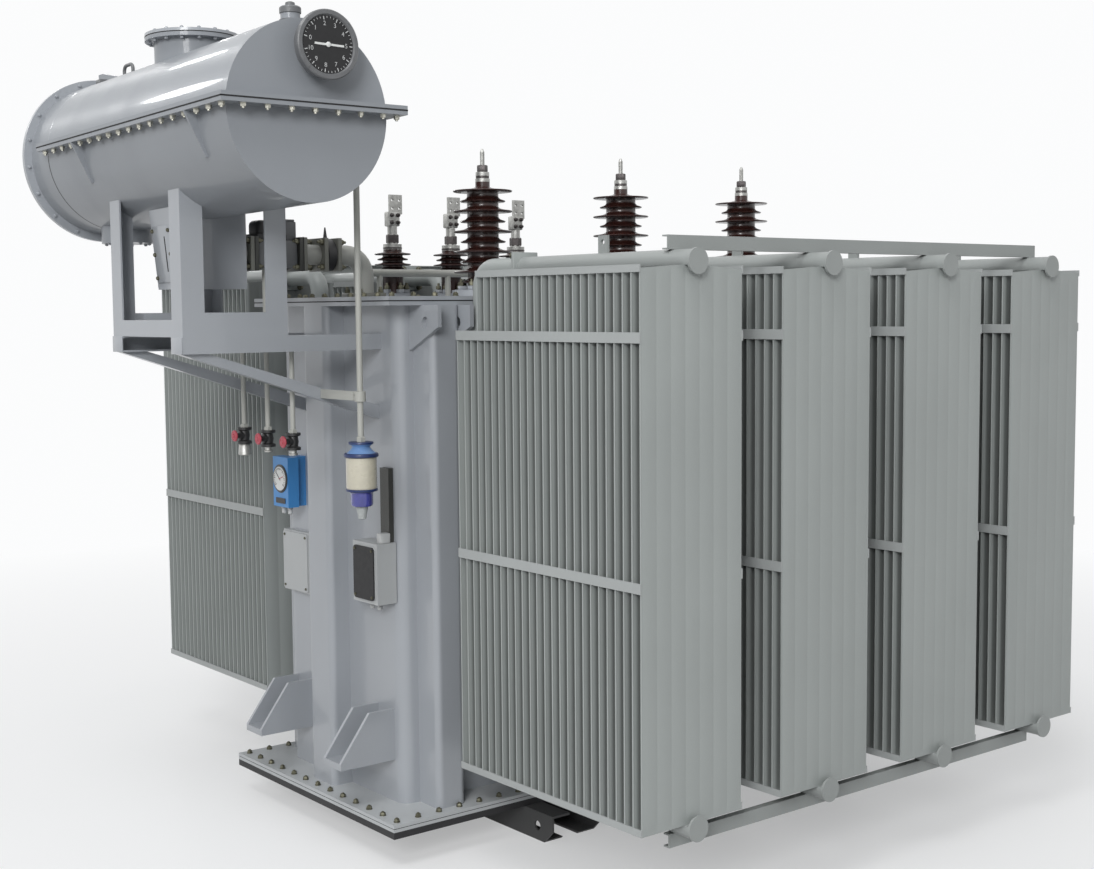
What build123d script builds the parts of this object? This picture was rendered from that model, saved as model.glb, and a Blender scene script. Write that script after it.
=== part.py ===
"""Oil-filled power transformer with panel radiators and an end-mounted conservator.

Millimetres, +Z up. +X runs along the tank away from the conservator end, and the
origin is on the ground in the middle of the whole machine.
"""

import os

from build123d import *

os.makedirs("parts", exist_ok=True)

# Tank
tank_length = 2900
tank_width = 1020
tank_wall_height = 2235
tank_plate = 10
tank_corner_radius = 60

# Skids and base
skid_height = 133
skid_width = 100
skid_plate = 10
skid_overhang = 410
skid_inner_x = 685
skid_outer_x = 878
skid_end_chamfer = 60
skid_hole_radius = 22
skid_hole_inset = 110
base_plate_thickness = 30
base_overhang_end = 189
base_overhang_side = 210
base_flange_plate = 14
base_gasket = 3
base_gasket_inset = 4

# Rim and cover
rim_overhang = 100
rim_thickness = 20
cover_thickness = 20

# Stiffeners
end_stiffener_width = 210
side_stiffener_width = 150
stiffener_depth = 100
side_stiffener_depth = 150
end_stiffener_y = 40
stiffener_fold_radius = 30
side_stiffener_pipe_gap = 165

# Lifting lugs and jacking brackets
lug_reach = 225
lug_height = 200
lug_edge_height = 95
lug_thickness = 20
lug_hole_radius = 25
lug_hole_inset = 98
lug_hole_drop = 75
jack_inset = 143
jack_width = 151
jack_reach = 283
jack_top_reach = 132
jack_height = 234
jack_plate = 16
jack_pad = 30
jack_bottom_z = 388

# Radiators
radiators_per_side = 4
radiator_end_inset = 65
panel_width = 520
panel_thickness = 10
panel_pitch = 48
panel_count = 22
short_panel_count = 3
radiator_reach = 1527.5
panel_bottom_z = 440
panel_top_rise = 99
panel_shoulder_run = 190
panel_shoulder_drop = 14
header_radius = 45
header_flat = 15
header_cap_reach = 32
header_cap_radius = 50
header_cap_thickness = 10
strap_height = 40
strap_thickness = 6
upper_strap_drop = 267
lower_strap_rise = 937
edge_strip_height = 28
eye_width = 55
eye_height = 70
eye_thickness = 12
eye_hole_radius = 11

# Radiator pipes
pipe_radius = 45
pipe_flange_width = 130
pipe_flange_thickness = 16
valve_thickness = 40
top_pipe_rim_gap = 55
top_pipe_wall_drop = 179
elbow_cut = 60

# Tie bars across the radiators
tie_height = 55
tie_depth = 32
tie_plate = 6
tie_inset = 107.5
tie_overrun = 40

# High-voltage bushings
shed_slope_share = 0.45
hv_y = -330
hv_shift = 10
hv_count = 3
hv_pitch = 855
hv_flange_radius = 150
hv_flange_thickness = 30
hv_barrel_radius = 74
hv_large_shed = 139
hv_small_shed = 106
hv_shed_pairs = 5
hv_shed_pitch = 47
hv_neck_height = 33
hv_crown_height = 46
hv_cap_radius = 32
hv_cap_height = 46
hv_nut_radius = 25
hv_nut_height = 32
hv_stud_radius = 11
hv_stud_height = 75

# Low-voltage bushings
lv_y = 300
lv_places = (-944, -592, -177)
lv_flange_radius = 85
lv_flange_thickness = 22
lv_barrel_radius = 50
lv_large_shed = 90
lv_small_shed = 76
lv_shed_pairs = 2
lv_shed_pitch = 26
lv_neck_height = 87
lv_crown_height = 26
lv_disc_radius = 46
lv_disc_height = 26
lv_cap_radius = 27
lv_cap_height = 49
palm_width = 72
palm_height = 95
palm_thickness = 14
palm_shift = 20
palm_neck_radius = 24
palm_neck_height = 100
palm_hole_radius = 7
palm_hole_spacing = 40

# Conservator
conservator_gap = 359
conservator_radius = 346
conservator_plate = 8
conservator_rise = 678
conservator_y = -35
conservator_half_length = 985
conservator_fall = 1.03
parting_overhang = 54
parting_far_inset = 205
parting_end_overhang = 72
parting_plate = 18
parting_rise = 21
end_flange_radius = 382
end_flange_thickness = 24
manhole_y = -50
manhole_neck_radius = 160
manhole_flange_radius = 198
manhole_flange_thickness = 18
manhole_rise = 88
manhole_neck_sink = 60
manhole_cover_thickness = 14
gusset_places = (-780, 340)
gusset_thickness = 12
gusset_drop = 170
gusset_foot = 60
sump_pot_y = 700
sump_pot_radius = 118
sump_pot_drop = 405
plug_end_inset = 120
plug_radius = 38
plug_height = 62
hook_end_inset = 100
hook_length = 190
hook_height = 60
hook_thickness = 20

# Oil level gauge
gauge_x = 49
gauge_rise = 236
gauge_radius = 127
gauge_depth = 55
gauge_stub_radius = 72
gauge_stub_length = 45
gauge_bezel = 18
gauge_recess = 10

# Conservator support
frame_y = 299
post_width = 100
post_depth = 100
post_plate = 8
post_outer_offset = 192
post_inner_offset = 190
cradle_beam_height = 100
cradle_drop = 124
arm_height = 69
arm_width = 100
arm_plate = 8
strut_width = 50
strut_height = 60
strut_foot_drop = 380
end_beam_height = 70

# Sump box, oil pipe and gas relay
sump_box_y = conservator_y
sump_box_depth = 210
sump_box_right = 180
sump_box_left_top = 200
sump_box_left_bottom = 135
sump_box_rise = 36
oil_pipe_radius = 46
oil_pipe_rise = 193
oil_flange_width = 150
oil_flange_thickness = 20
relay_start = 58
relay_length = 242
relay_radius = 62
relay_head_length = 165
relay_head_width = 110
relay_head_rise = 146
relay_head_chamfer = 18
relay_box_length = 73
relay_box_width = 90
relay_box_rise = 156
oil_valve_length = 50
oil_valve_radius = 74
oil_lever_width = 24
oil_lever_thickness = 12
oil_lever_rise = 130
oil_elbow_cut = 70
oil_elbow_run = 107
oil_pipe_landing = 130

# Breather
breather_x_gap = 295
breather_y = -680
breather_pipe_radius = 13
breather_drop = 445
breather_lid_radius = 53
breather_cap_radius = 73
breather_rim_height = 12
breather_cone_radius = 38
breather_cone_height = 38
breather_glass_radius = 65
breather_glass_height = 140
breather_cup_radius = 47
breather_cup_height = 70
breather_tip_radius = 25
breather_tip_end_radius = 17
breather_tip_height = 55
breather_pipe_drop = 127
breather_arm_drop = 255
breather_arm_height = 40
breather_arm_thickness = 8
breather_clamp_radius = 24
breather_clamp_height = 46

# Boxes and instruments on the end wall
terminal_box_inset = 134
terminal_box_z = 1108
terminal_box_width = 202
terminal_box_height = 272
terminal_box_depth = 100
terminal_lid_margin = 18
terminal_lid_thickness = 6
terminal_lid_corner = 16
tray_width = 70
tray_height = 330
tray_depth = 24
tray_shift = -50
thermometer_inset = 158
thermometer_z = 1471
thermometer_width = 145
thermometer_height = 240
thermometer_depth = 58
thermometer_stand_off = 60
thermometer_bracket_width = 70
thermometer_dial_radius = 60
thermometer_dial_rise = 136
thermometer_dial_recess = 8
side_box_inset = 140
side_box_z = 1046
side_box_width = 242
side_box_height = 297
side_box_depth = 30

# Sampling pipes and valves
sample_post_gap = 69.5
sample_arm_gap = 10
sample_pipe_radius = 11
sample_valve_drop = 427
sample_valve_radius = 26
sample_valve_height = 75
sample_wheel_radius = 25
sample_wheel_thickness = 14
sample_stem_radius = 9
sample_stem_length = 48

# Vent pipe over the cover
vent_pipe_y = 50
vent_pipe_rise = 116
vent_pipe_radius = 18
vent_pipe_inset = 200
vent_post_radius = 14
vent_post_inset = 70
vent_post_count = 7

# Levels from the ground up
base_plate_z = skid_height
base_flange_z = base_plate_z + base_plate_thickness
wall_z = base_flange_z + 2 * base_flange_plate + base_gasket
wall_top_z = wall_z + tank_wall_height
cover_z = wall_top_z + rim_thickness
cover_top_z = cover_z + cover_thickness
panel_top_z = cover_top_z + panel_top_rise
upper_strap_z = panel_top_z - upper_strap_drop
lower_strap_z = panel_bottom_z + lower_strap_rise
top_header_z = panel_top_z + header_flat
bottom_header_z = panel_bottom_z - header_flat
top_pipe_wall_z = wall_top_z - top_pipe_wall_drop
conservator_z = cover_top_z + conservator_rise
crown_z = conservator_z + conservator_radius
parting_z = conservator_z + parting_rise
manhole_top_z = crown_z + manhole_rise
gauge_z = conservator_z + gauge_rise
cradle_bottom_z = wall_top_z - cradle_drop
cradle_top_z = cradle_bottom_z + cradle_beam_height
oil_pipe_z = cover_top_z + oil_pipe_rise
breather_top_z = cradle_bottom_z - breather_drop
sample_valve_z = cradle_bottom_z - sample_valve_drop
vent_pipe_z = cover_top_z + vent_pipe_rise

# Places along X, with the whole machine centred on the origin
tank_half = tank_length / 2
side_y = tank_width / 2
conservator_offset = tank_half + conservator_gap + conservator_radius
machine_front = conservator_offset + max(conservator_radius + parting_overhang, end_flange_radius)
machine_rear = tank_half + max(base_overhang_end, jack_reach)
tank_x = (machine_front - machine_rear) / 2
conservator_x = tank_x - conservator_offset
conservator_near_y = conservator_y - conservator_half_length
conservator_end_y = conservator_y + conservator_half_length
lean_axis = Axis((conservator_x, conservator_y, conservator_z), (1, 0, 0))
front_x = tank_x - tank_half
rear_x = tank_x + tank_half
radiator_gaps = radiators_per_side - 1
radiator_pitch = (tank_length - 2 * radiator_end_inset - panel_width) / radiator_gaps
radiator_places = [
    tank_x + (i - radiator_gaps / 2) * radiator_pitch for i in range(radiators_per_side)
]
radiator_face_y = side_y + radiator_reach
top_pipe_drop_y = side_y + rim_overhang + top_pipe_rim_gap + pipe_radius
skid_half_length = side_y + skid_overhang
panel_places = [radiator_face_y - panel_thickness / 2 - i * panel_pitch for i in range(panel_count)]
short_panel_places = [
    panel_places[-1] - (i + 1) * panel_pitch for i in range(short_panel_count)
]
radiator_inner_y = short_panel_places[-1] - panel_thickness / 2
top_header_inner_y = panel_places[-1] - panel_thickness / 2
SIDES = {"right": -1, "left": 1}
BOTTOM = (Align.CENTER, Align.CENTER, Align.MIN)
TOP = (Align.CENTER, Align.CENTER, Align.MAX)


def finish(builder, name, lean=0):
    """Label a finished piece, lean it with the drum if asked, and write it."""
    piece = builder.part.rotate(lean_axis, lean) if lean else builder.part
    piece.label = name
    export_step(piece, f"parts/{name}.step")


def across(x, y, z):
    """A sketch plane square to X at the given place, with Y across and Z up."""
    return Plane((x, y, z), x_dir=(0, 1, 0), z_dir=(1, 0, 0))


def along(x, y, z):
    """A sketch plane square to Y at the given place, with X across and Z up."""
    return Plane((x, y, z), x_dir=(1, 0, 0), z_dir=(0, -1, 0))


# Skids: a pair of channels under each end, webs outward, with pulling holes
def skid_pair(name, toward):
    with BuildPart() as skids:
        for offset, web_side in ((skid_inner_x, -1), (skid_outer_x, 1)):
            middle = tank_x + toward * offset
            web = toward * web_side
            with BuildSketch(along(middle, skid_half_length, 0)):
                with Locations((0, skid_height / 2)):
                    Rectangle(skid_width, skid_height)
                with Locations((-web * skid_plate, skid_height / 2)):
                    Rectangle(skid_width, skid_height - 2 * skid_plate, mode=Mode.SUBTRACT)
            extrude(amount=2 * skid_half_length)
            for end in (-1, 1):
                with BuildSketch(across(middle - skid_width / 2, end * skid_half_length, 0)):
                    Polygon(
                        (0, 0), (-end * skid_end_chamfer, 0), (0, skid_end_chamfer), align=None
                    )
                extrude(amount=skid_width, mode=Mode.SUBTRACT)
                hole_y = end * (skid_half_length - skid_hole_inset)
                with BuildSketch(across(middle - skid_width / 2, hole_y, skid_height / 2)):
                    Circle(skid_hole_radius)
                extrude(amount=skid_width, mode=Mode.SUBTRACT)
    finish(skids, name)


skid_pair("front_skids", -1)
skid_pair("rear_skids", 1)

# Base plate and the bolted base flange, with a gasket line round its edge
base_length = tank_length + 2 * base_overhang_end
base_width = tank_width + 2 * base_overhang_side
with BuildPart() as base_plate:
    with Locations((tank_x, 0, base_plate_z)):
        Box(base_length, base_width, base_plate_thickness, align=BOTTOM)
finish(base_plate, "base_plate")

with BuildPart() as base_flange:
    for z in (base_flange_z, base_flange_z + base_flange_plate + base_gasket):
        with Locations((tank_x, 0, z)):
            Box(base_length, base_width, base_flange_plate, align=BOTTOM)
    with Locations((tank_x, 0, base_flange_z + base_flange_plate)):
        Box(
            base_length - 2 * base_gasket_inset,
            base_width - 2 * base_gasket_inset,
            base_gasket,
            align=BOTTOM,
        )
finish(base_flange, "base_flange")


# Tank walls: two bent end plates that carry the rounded corners, two flat sides between
def tank_wall(name, keep_x, keep_y, keep_length, keep_width):
    with BuildPart() as wall:
        with BuildSketch(Plane.XY.offset(wall_z)):
            with Locations((tank_x, 0)):
                RectangleRounded(tank_length, tank_width, tank_corner_radius)
                RectangleRounded(
                    tank_length - 2 * tank_plate,
                    tank_width - 2 * tank_plate,
                    tank_corner_radius - tank_plate,
                    mode=Mode.SUBTRACT,
                )
            with Locations((keep_x, keep_y)):
                Rectangle(keep_length, keep_width, mode=Mode.INTERSECT)
        extrude(amount=tank_wall_height)
    finish(wall, name)


bend = tank_corner_radius
tank_wall("front_wall", front_x + bend / 2, 0, bend, tank_width)
tank_wall("rear_wall", rear_x - bend / 2, 0, bend, tank_width)
tank_wall("right_wall", tank_x, -side_y / 2, tank_length - 2 * bend, side_y)
tank_wall("left_wall", tank_x, side_y / 2, tank_length - 2 * bend, side_y)

# Rim bars along the top of the walls, and the cover on them
rim_length = tank_length + 2 * rim_overhang
rim_width = tank_width + 2 * rim_overhang
rim_bar = rim_overhang + tank_corner_radius
with BuildPart() as rim_sides:
    for side in SIDES.values():
        with Locations((tank_x, side * (rim_width - rim_bar) / 2, wall_top_z)):
            Box(rim_length, rim_bar, rim_thickness, align=BOTTOM)
finish(rim_sides, "rim_sides")

with BuildPart() as rim_ends:
    for end in (-1, 1):
        with Locations((tank_x + end * (rim_length - rim_bar) / 2, 0, wall_top_z)):
            Box(rim_bar, rim_width - 2 * rim_bar, rim_thickness, align=BOTTOM)
finish(rim_ends, "rim_ends")

with BuildPart() as tank_cover:
    with Locations((tank_x, 0, cover_z)):
        Box(rim_length, rim_width, cover_thickness, align=BOTTOM)
finish(tank_cover, "tank_cover")

# Folded box stiffeners, from the base flange up to the rim
with BuildPart() as end_stiffeners:
    for end in (-1, 1):
        with BuildSketch(Plane.XY.offset(wall_z)):
            with Locations((tank_x + end * (tank_half + stiffener_depth / 2), end_stiffener_y)):
                Rectangle(stiffener_depth, end_stiffener_width)
        extrude(amount=tank_wall_height)
    upright = end_stiffeners.edges().filter_by(Axis.Z).sort_by(Axis.X)
    fillet(upright[:2] + upright[-2:], stiffener_fold_radius)
finish(end_stiffeners, "end_stiffeners")

side_stiffener_outer_x = radiator_gaps / 2 * radiator_pitch + side_stiffener_pipe_gap
between_radiators = [(i - (radiator_gaps - 1) / 2) * radiator_pitch for i in range(radiator_gaps)]
side_stiffener_places = [-side_stiffener_outer_x, *between_radiators, side_stiffener_outer_x]
with BuildPart() as side_stiffeners:
    for side in SIDES.values():
        for place in side_stiffener_places:
            with BuildSketch(Plane.XY.offset(wall_z)):
                with Locations((tank_x + place, side * (side_y + side_stiffener_depth / 2))):
                    Rectangle(side_stiffener_width, side_stiffener_depth)
            extrude(amount=tank_wall_height)
    upright = side_stiffeners.edges().filter_by(Axis.Z).group_by(Axis.Y)
    fillet(upright[0] + upright[-1], stiffener_fold_radius)
finish(side_stiffeners, "side_stiffeners")

# Lifting lugs: a pair of plates on each outer side stiffener
lug_top_z = wall_top_z
with BuildPart() as lifting_lugs:
    for side in SIDES.values():
        for end in (-1, 1):
            for face in (-1, 1):
                plate_x = tank_x + end * side_stiffener_outer_x
                plate_x += face * (side_stiffener_width + lug_thickness) / 2 - lug_thickness / 2
                with BuildSketch(across(plate_x, side * side_y, lug_top_z)):
                    Polygon(
                        (0, 0),
                        (side * lug_reach, 0),
                        (side * lug_reach, -lug_edge_height),
                        (0, -lug_height),
                        align=None,
                    )
                    with Locations((side * (lug_reach - lug_hole_inset), -lug_hole_drop)):
                        Circle(lug_hole_radius, mode=Mode.SUBTRACT)
                extrude(amount=lug_thickness)
finish(lifting_lugs, "lifting_lugs")

# Jacking brackets: two cheeks on a pad, low on each end wall
jack_y = side_y - jack_inset
with BuildPart() as jacking_brackets:
    for end in (-1, 1):
        wall_x = tank_x + end * tank_half
        for side in SIDES.values():
            for cheek in (-1, 1):
                cheek_y = side * jack_y + cheek * (jack_width - jack_plate) / 2
                with BuildSketch(along(wall_x, cheek_y + jack_plate / 2, jack_bottom_z)):
                    Polygon(
                        (0, jack_pad),
                        (end * jack_reach, jack_pad),
                        (end * jack_top_reach, jack_height),
                        (0, jack_height),
                        align=None,
                    )
                extrude(amount=jack_plate)
            with Locations((wall_x + end * jack_reach / 2, side * jack_y, jack_bottom_z)):
                Box(jack_reach, jack_width, jack_pad, align=BOTTOM)
finish(jacking_brackets, "jacking_brackets")


# Radiators: stacks of flat panels with sloping shoulders, hung between two headers
def panel(x, y, top_z):
    """One panel's outline on the plane of its outer face."""
    with BuildSketch(along(x, y, 0)) as outline:
        half = panel_width / 2
        Polygon(
            (-half, panel_bottom_z),
            (half, panel_bottom_z),
            (half, top_z - panel_shoulder_drop),
            (half - panel_shoulder_run, top_z),
            (panel_shoulder_run - half, top_z),
            (-half, top_z - panel_shoulder_drop),
            align=None,
        )
    return outline.sketch


def radiator(name, x, side):
    with BuildPart() as body:
        for place in panel_places:
            extrude(panel(x, side * place, panel_top_z), amount=panel_thickness / 2, both=True)
        for place in short_panel_places:
            extrude(panel(x, side * place, upper_strap_z), amount=panel_thickness / 2, both=True)
    finish(body, name)


for side_name, side in SIDES.items():
    for number, place in enumerate(radiator_places, 1):
        radiator(f"radiator_{side_name}_{number}", place, side)


# Headers: round pipes flattened where the panels are welded on, with a cap on the outer end
def header(x, side, z, flat_toward, inner_y):
    outer_y = radiator_face_y + header_cap_reach
    with BuildPart() as pipe:
        with BuildSketch(along(x, side * outer_y, z)):
            Circle(header_radius)
            with Locations((0, flat_toward * (header_flat + header_radius) / 2)):
                Rectangle(2 * header_radius, header_radius - header_flat, mode=Mode.SUBTRACT)
        extrude(amount=side * (outer_y - inner_y))
        with BuildSketch(along(x, side * outer_y, z)):
            Circle(header_cap_radius)
        extrude(amount=side * header_cap_thickness)
    return pipe.part


with BuildPart() as top_headers:
    eye_y = (radiator_face_y + top_header_inner_y) / 2
    for side in SIDES.values():
        for place in radiator_places:
            add(header(place, side, top_header_z, -1, top_header_inner_y))
            with BuildSketch(across(place - eye_thickness / 2, side * eye_y, top_header_z)):
                with Locations((0, (header_radius + eye_height) / 2)):
                    Rectangle(eye_width, header_radius + eye_height)
                with Locations((0, header_radius + eye_height - eye_width / 2)):
                    Circle(eye_hole_radius, mode=Mode.SUBTRACT)
            extrude(amount=eye_thickness)
finish(top_headers, "top_headers")

with BuildPart() as bottom_headers:
    for side in SIDES.values():
        for place in radiator_places:
            add(header(place, side, bottom_header_z, 1, radiator_inner_y))
finish(bottom_headers, "bottom_headers")

# Straps and edge strips that hold the panel edges in line, on both edges of each radiator
strap_levels = (
    (upper_strap_z, strap_height, radiator_inner_y),
    (lower_strap_z, strap_height, radiator_inner_y),
    (panel_top_z - edge_strip_height / 2, edge_strip_height, top_header_inner_y),
    (panel_bottom_z + edge_strip_height / 2, edge_strip_height, radiator_inner_y),
)
with BuildPart() as radiator_straps:
    for side in SIDES.values():
        for place in radiator_places:
            for edge in (-1, 1):
                strap_x = place + edge * (panel_width + strap_thickness) / 2
                for z, height, inner_y in strap_levels:
                    with Locations((strap_x, side * (radiator_face_y + inner_y) / 2, z)):
                        Box(strap_thickness, radiator_face_y - inner_y, height)
finish(radiator_straps, "radiator_straps")

# Top pipes: from the header's inner end, down past the rim and in to the tank wall
with BuildPart() as radiator_top_pipes:
    for side in SIDES.values():
        for place in radiator_places:
            with BuildLine(across(place, 0, 0)):
                Polyline(
                    (side * top_header_inner_y, top_header_z),
                    (side * (top_pipe_drop_y + elbow_cut), top_header_z),
                    (side * top_pipe_drop_y, top_header_z - elbow_cut),
                    (side * top_pipe_drop_y, top_pipe_wall_z + elbow_cut),
                    (side * (top_pipe_drop_y - elbow_cut), top_pipe_wall_z),
                    (side * side_y, top_pipe_wall_z),
                )
            with BuildSketch(along(place, side * top_header_inner_y, top_header_z)):
                Circle(pipe_radius)
            sweep(transition=Transition.RIGHT)
            for flange_y in (top_header_inner_y - pipe_flange_thickness, side_y + valve_thickness):
                z = top_header_z if flange_y > top_pipe_drop_y else top_pipe_wall_z
                with BuildSketch(along(place, side * flange_y, z)):
                    Rectangle(pipe_flange_width, pipe_flange_width)
                extrude(amount=-side * pipe_flange_thickness)
finish(radiator_top_pipes, "radiator_top_pipes")

# Bottom pipes: straight from the header to the tank wall, through a flat valve body
with BuildPart() as radiator_bottom_pipes:
    for side in SIDES.values():
        for place in radiator_places:
            with BuildSketch(along(place, side * radiator_inner_y, bottom_header_z)):
                Circle(pipe_radius)
            extrude(amount=side * (radiator_inner_y - side_y))
            with BuildSketch(along(place, side * (radiator_inner_y + side_y) / 2, bottom_header_z)):
                Rectangle(pipe_flange_width, pipe_flange_width)
            extrude(amount=valve_thickness / 2, both=True)
finish(radiator_bottom_pipes, "radiator_bottom_pipes")

# Tie bars: channels across the outer ends of the headers, webs outward
tie_y = radiator_face_y - tie_inset
tie_start = radiator_places[0] - tie_overrun
tie_end = radiator_places[-1] + tie_overrun
with BuildPart() as tie_bars:
    for side in SIDES.values():
        for tie_z in (top_header_z + header_radius, bottom_header_z - header_radius - tie_height):
            with BuildSketch(across(tie_start, side * tie_y, tie_z)):
                with Locations((0, tie_height / 2)):
                    Rectangle(tie_depth, tie_height)
                with Locations((-side * tie_plate, tie_height / 2)):
                    Rectangle(tie_depth, tie_height - 2 * tie_plate, mode=Mode.SUBTRACT)
            extrude(amount=tie_end - tie_start)
finish(tie_bars, "tie_bars")


# Bushings: porcelain bodies with rain sheds, clamped to the cover
def bushing_body(x, y, base_z, barrel, radii, pitch, neck, top_radius, crown):
    """A barrel with flat-bottomed sheds and a short neck above the last one."""
    sheds_z = base_z + neck
    top_z = sheds_z + (len(radii) - 1) * pitch + crown
    outline = [(0, base_z), (barrel, base_z)]
    for step, radius in enumerate(radii):
        low = sheds_z + step * pitch
        outline += [(barrel, low), (radius, low), (barrel, low + shed_slope_share * pitch)]
    outline[-1] = (top_radius, low + shed_slope_share * pitch)
    outline.append((top_radius, top_z))
    with BuildPart() as body:
        with BuildSketch(along(x, y, 0)):
            Polygon(*outline, (0, top_z), align=None)
        revolve(axis=Axis((x, y, 0), (0, 0, 1)))
    return body.part


hv_places = [tank_x + hv_shift + (i - (hv_count - 1) / 2) * hv_pitch for i in range(hv_count)]
hv_base_z = cover_top_z + hv_flange_thickness
hv_radii = [hv_small_shed, hv_large_shed] * hv_shed_pairs
hv_top_z = hv_base_z + hv_neck_height + (len(hv_radii) - 1) * hv_shed_pitch
hv_top_z += hv_crown_height
with BuildPart() as hv_flanges:
    for x in hv_places:
        with Locations((x, hv_y, cover_top_z)):
            Cylinder(hv_flange_radius, hv_flange_thickness, align=BOTTOM)
finish(hv_flanges, "hv_flanges")

with BuildPart() as hv_bushings:
    for x in hv_places:
        add(
            bushing_body(
                x,
                hv_y,
                hv_base_z,
                hv_barrel_radius,
                hv_radii,
                hv_shed_pitch,
                hv_neck_height,
                hv_cap_radius,
                hv_crown_height,
            )
        )
finish(hv_bushings, "hv_bushings")

# High-voltage terminals: a cap, a lock nut and a stud
with BuildPart() as hv_terminals:
    for x in hv_places:
        nut_z = hv_top_z + hv_cap_height
        with Locations((x, hv_y, hv_top_z)):
            Cylinder(hv_cap_radius, hv_cap_height, align=BOTTOM)
        with BuildSketch(Plane((x, hv_y, nut_z))):
            RegularPolygon(hv_nut_radius, 6)
        extrude(amount=hv_nut_height)
        with Locations((x, hv_y, nut_z + hv_nut_height)):
            Cylinder(hv_stud_radius, hv_stud_height, align=BOTTOM)
finish(hv_terminals, "hv_terminals")

lv_base_z = cover_top_z + lv_flange_thickness
lv_radii = [lv_large_shed, lv_small_shed] * lv_shed_pairs + [lv_large_shed]
lv_top_z = lv_base_z + lv_neck_height + (len(lv_radii) - 1) * lv_shed_pitch
lv_top_z += lv_crown_height
with BuildPart() as lv_flanges:
    for place in lv_places:
        with Locations((tank_x + place, lv_y, cover_top_z)):
            Cylinder(lv_flange_radius, lv_flange_thickness, align=BOTTOM)
finish(lv_flanges, "lv_flanges")

with BuildPart() as lv_bushings:
    for place in lv_places:
        x = tank_x + place
        add(
            bushing_body(
                x,
                lv_y,
                lv_base_z,
                lv_barrel_radius,
                lv_radii,
                lv_shed_pitch,
                lv_neck_height,
                lv_disc_radius,
                lv_crown_height,
            )
        )
finish(lv_bushings, "lv_bushings")

# Low-voltage terminals: a disc, a nut, a neck and a flat palm with four bolt holes
palm_z = lv_top_z + lv_disc_height + lv_cap_height + palm_neck_height
with BuildPart() as lv_terminals:
    for place in lv_places:
        x = tank_x + place
        z = lv_top_z
        stack = (
            (lv_disc_radius, lv_disc_height),
            (lv_cap_radius, lv_cap_height),
            (palm_neck_radius, palm_neck_height),
        )
        for radius, height in stack:
            with Locations((x, lv_y, z)):
                Cylinder(radius, height, align=BOTTOM)
            z += height
        with BuildSketch(along(x + palm_shift, lv_y + palm_thickness / 2, palm_z + palm_height / 2)):
            Rectangle(palm_width, palm_height)
            with GridLocations(palm_hole_spacing, palm_hole_spacing, 2, 2):
                Circle(palm_hole_radius, mode=Mode.SUBTRACT)
        extrude(amount=palm_thickness)
finish(lv_terminals, "lv_terminals")


# Conservator: a lying drum in two halves, bolted along a level parting flange
def conservator_half(upward):
    """One half of the drum as a shell with welded ends and its parting flange."""
    length = 2 * conservator_half_length
    centre = along(conservator_x, conservator_end_y, conservator_z)
    inner = along(conservator_x, conservator_end_y - conservator_plate, conservator_z)
    flange_length = length + parting_end_overhang - parting_far_inset
    flange_y = conservator_y - (parting_end_overhang + parting_far_inset) / 2
    flange_z = parting_z + upward * parting_plate / 2
    with BuildPart() as half:
        with BuildSketch(centre):
            Circle(conservator_radius)
        extrude(amount=length)
        with BuildSketch(inner):
            Circle(conservator_radius - conservator_plate)
        extrude(amount=length - 2 * conservator_plate, mode=Mode.SUBTRACT)
        with Locations((conservator_x, conservator_y, parting_z)):
            Box(
                4 * conservator_radius,
                2 * length,
                2 * conservator_radius,
                align=TOP if upward > 0 else BOTTOM,
                mode=Mode.SUBTRACT,
            )
        with BuildSketch(Plane.XY.offset(flange_z - parting_plate / 2)):
            with Locations((conservator_x, flange_y)):
                Rectangle(2 * (conservator_radius + parting_overhang), flange_length)
            with Locations((conservator_x, conservator_y)):
                Rectangle(
                    2 * (conservator_radius - conservator_plate - parting_overhang),
                    length - 2 * conservator_plate,
                    mode=Mode.SUBTRACT,
                )
        extrude(amount=parting_plate)
    return half.part


with BuildPart() as conservator_lower:
    add(conservator_half(-1))
    sump_pot_height = sump_pot_drop - conservator_radius + 4 * conservator_plate
    with Locations((conservator_x, sump_pot_y, conservator_z - sump_pot_drop)):
        Cylinder(sump_pot_radius, sump_pot_height, align=BOTTOM)
    gusset_top_z = parting_z - parting_plate
    for side in (-1, 1):
        for y in gusset_places:
            with BuildSketch(along(conservator_x, y + gusset_thickness / 2, gusset_top_z)):
                reach = conservator_radius + parting_overhang
                Polygon(
                    (side * (conservator_radius - conservator_plate / 2), 0),
                    (side * reach, 0),
                    (side * (conservator_radius - gusset_foot / 2), -gusset_drop),
                    (side * (conservator_radius - gusset_foot), -gusset_drop),
                    align=None,
                )
            extrude(amount=gusset_thickness)
finish(conservator_lower, "conservator_lower", -conservator_fall)

with BuildPart() as conservator_upper:
    add(conservator_half(1))
    neck_z = crown_z - manhole_neck_sink
    neck_top_z = manhole_top_z - manhole_cover_thickness
    with Locations((conservator_x, manhole_y, neck_top_z)):
        Cylinder(manhole_flange_radius, manhole_flange_thickness, align=TOP)
    with Locations((conservator_x, manhole_y, neck_z)):
        Cylinder(manhole_neck_radius, neck_top_z - neck_z, align=BOTTOM)
    plug_y = conservator_near_y + plug_end_inset
    with Locations((conservator_x, plug_y, crown_z - 2 * conservator_plate)):
        Cylinder(plug_radius, plug_height + 2 * conservator_plate, align=BOTTOM)
    hook_y = conservator_end_y - hook_end_inset
    with BuildSketch(across(conservator_x - hook_thickness / 2, hook_y, crown_z)):
        Polygon(
            (-hook_length / 2, -conservator_plate),
            (hook_length / 2, -conservator_plate),
            (hook_length / 2, hook_height),
            (hook_length / 4, hook_height),
            (-hook_length / 2, hook_height / 2),
            align=None,
        )
    extrude(amount=hook_thickness)
finish(conservator_upper, "conservator_upper", -conservator_fall)

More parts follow.
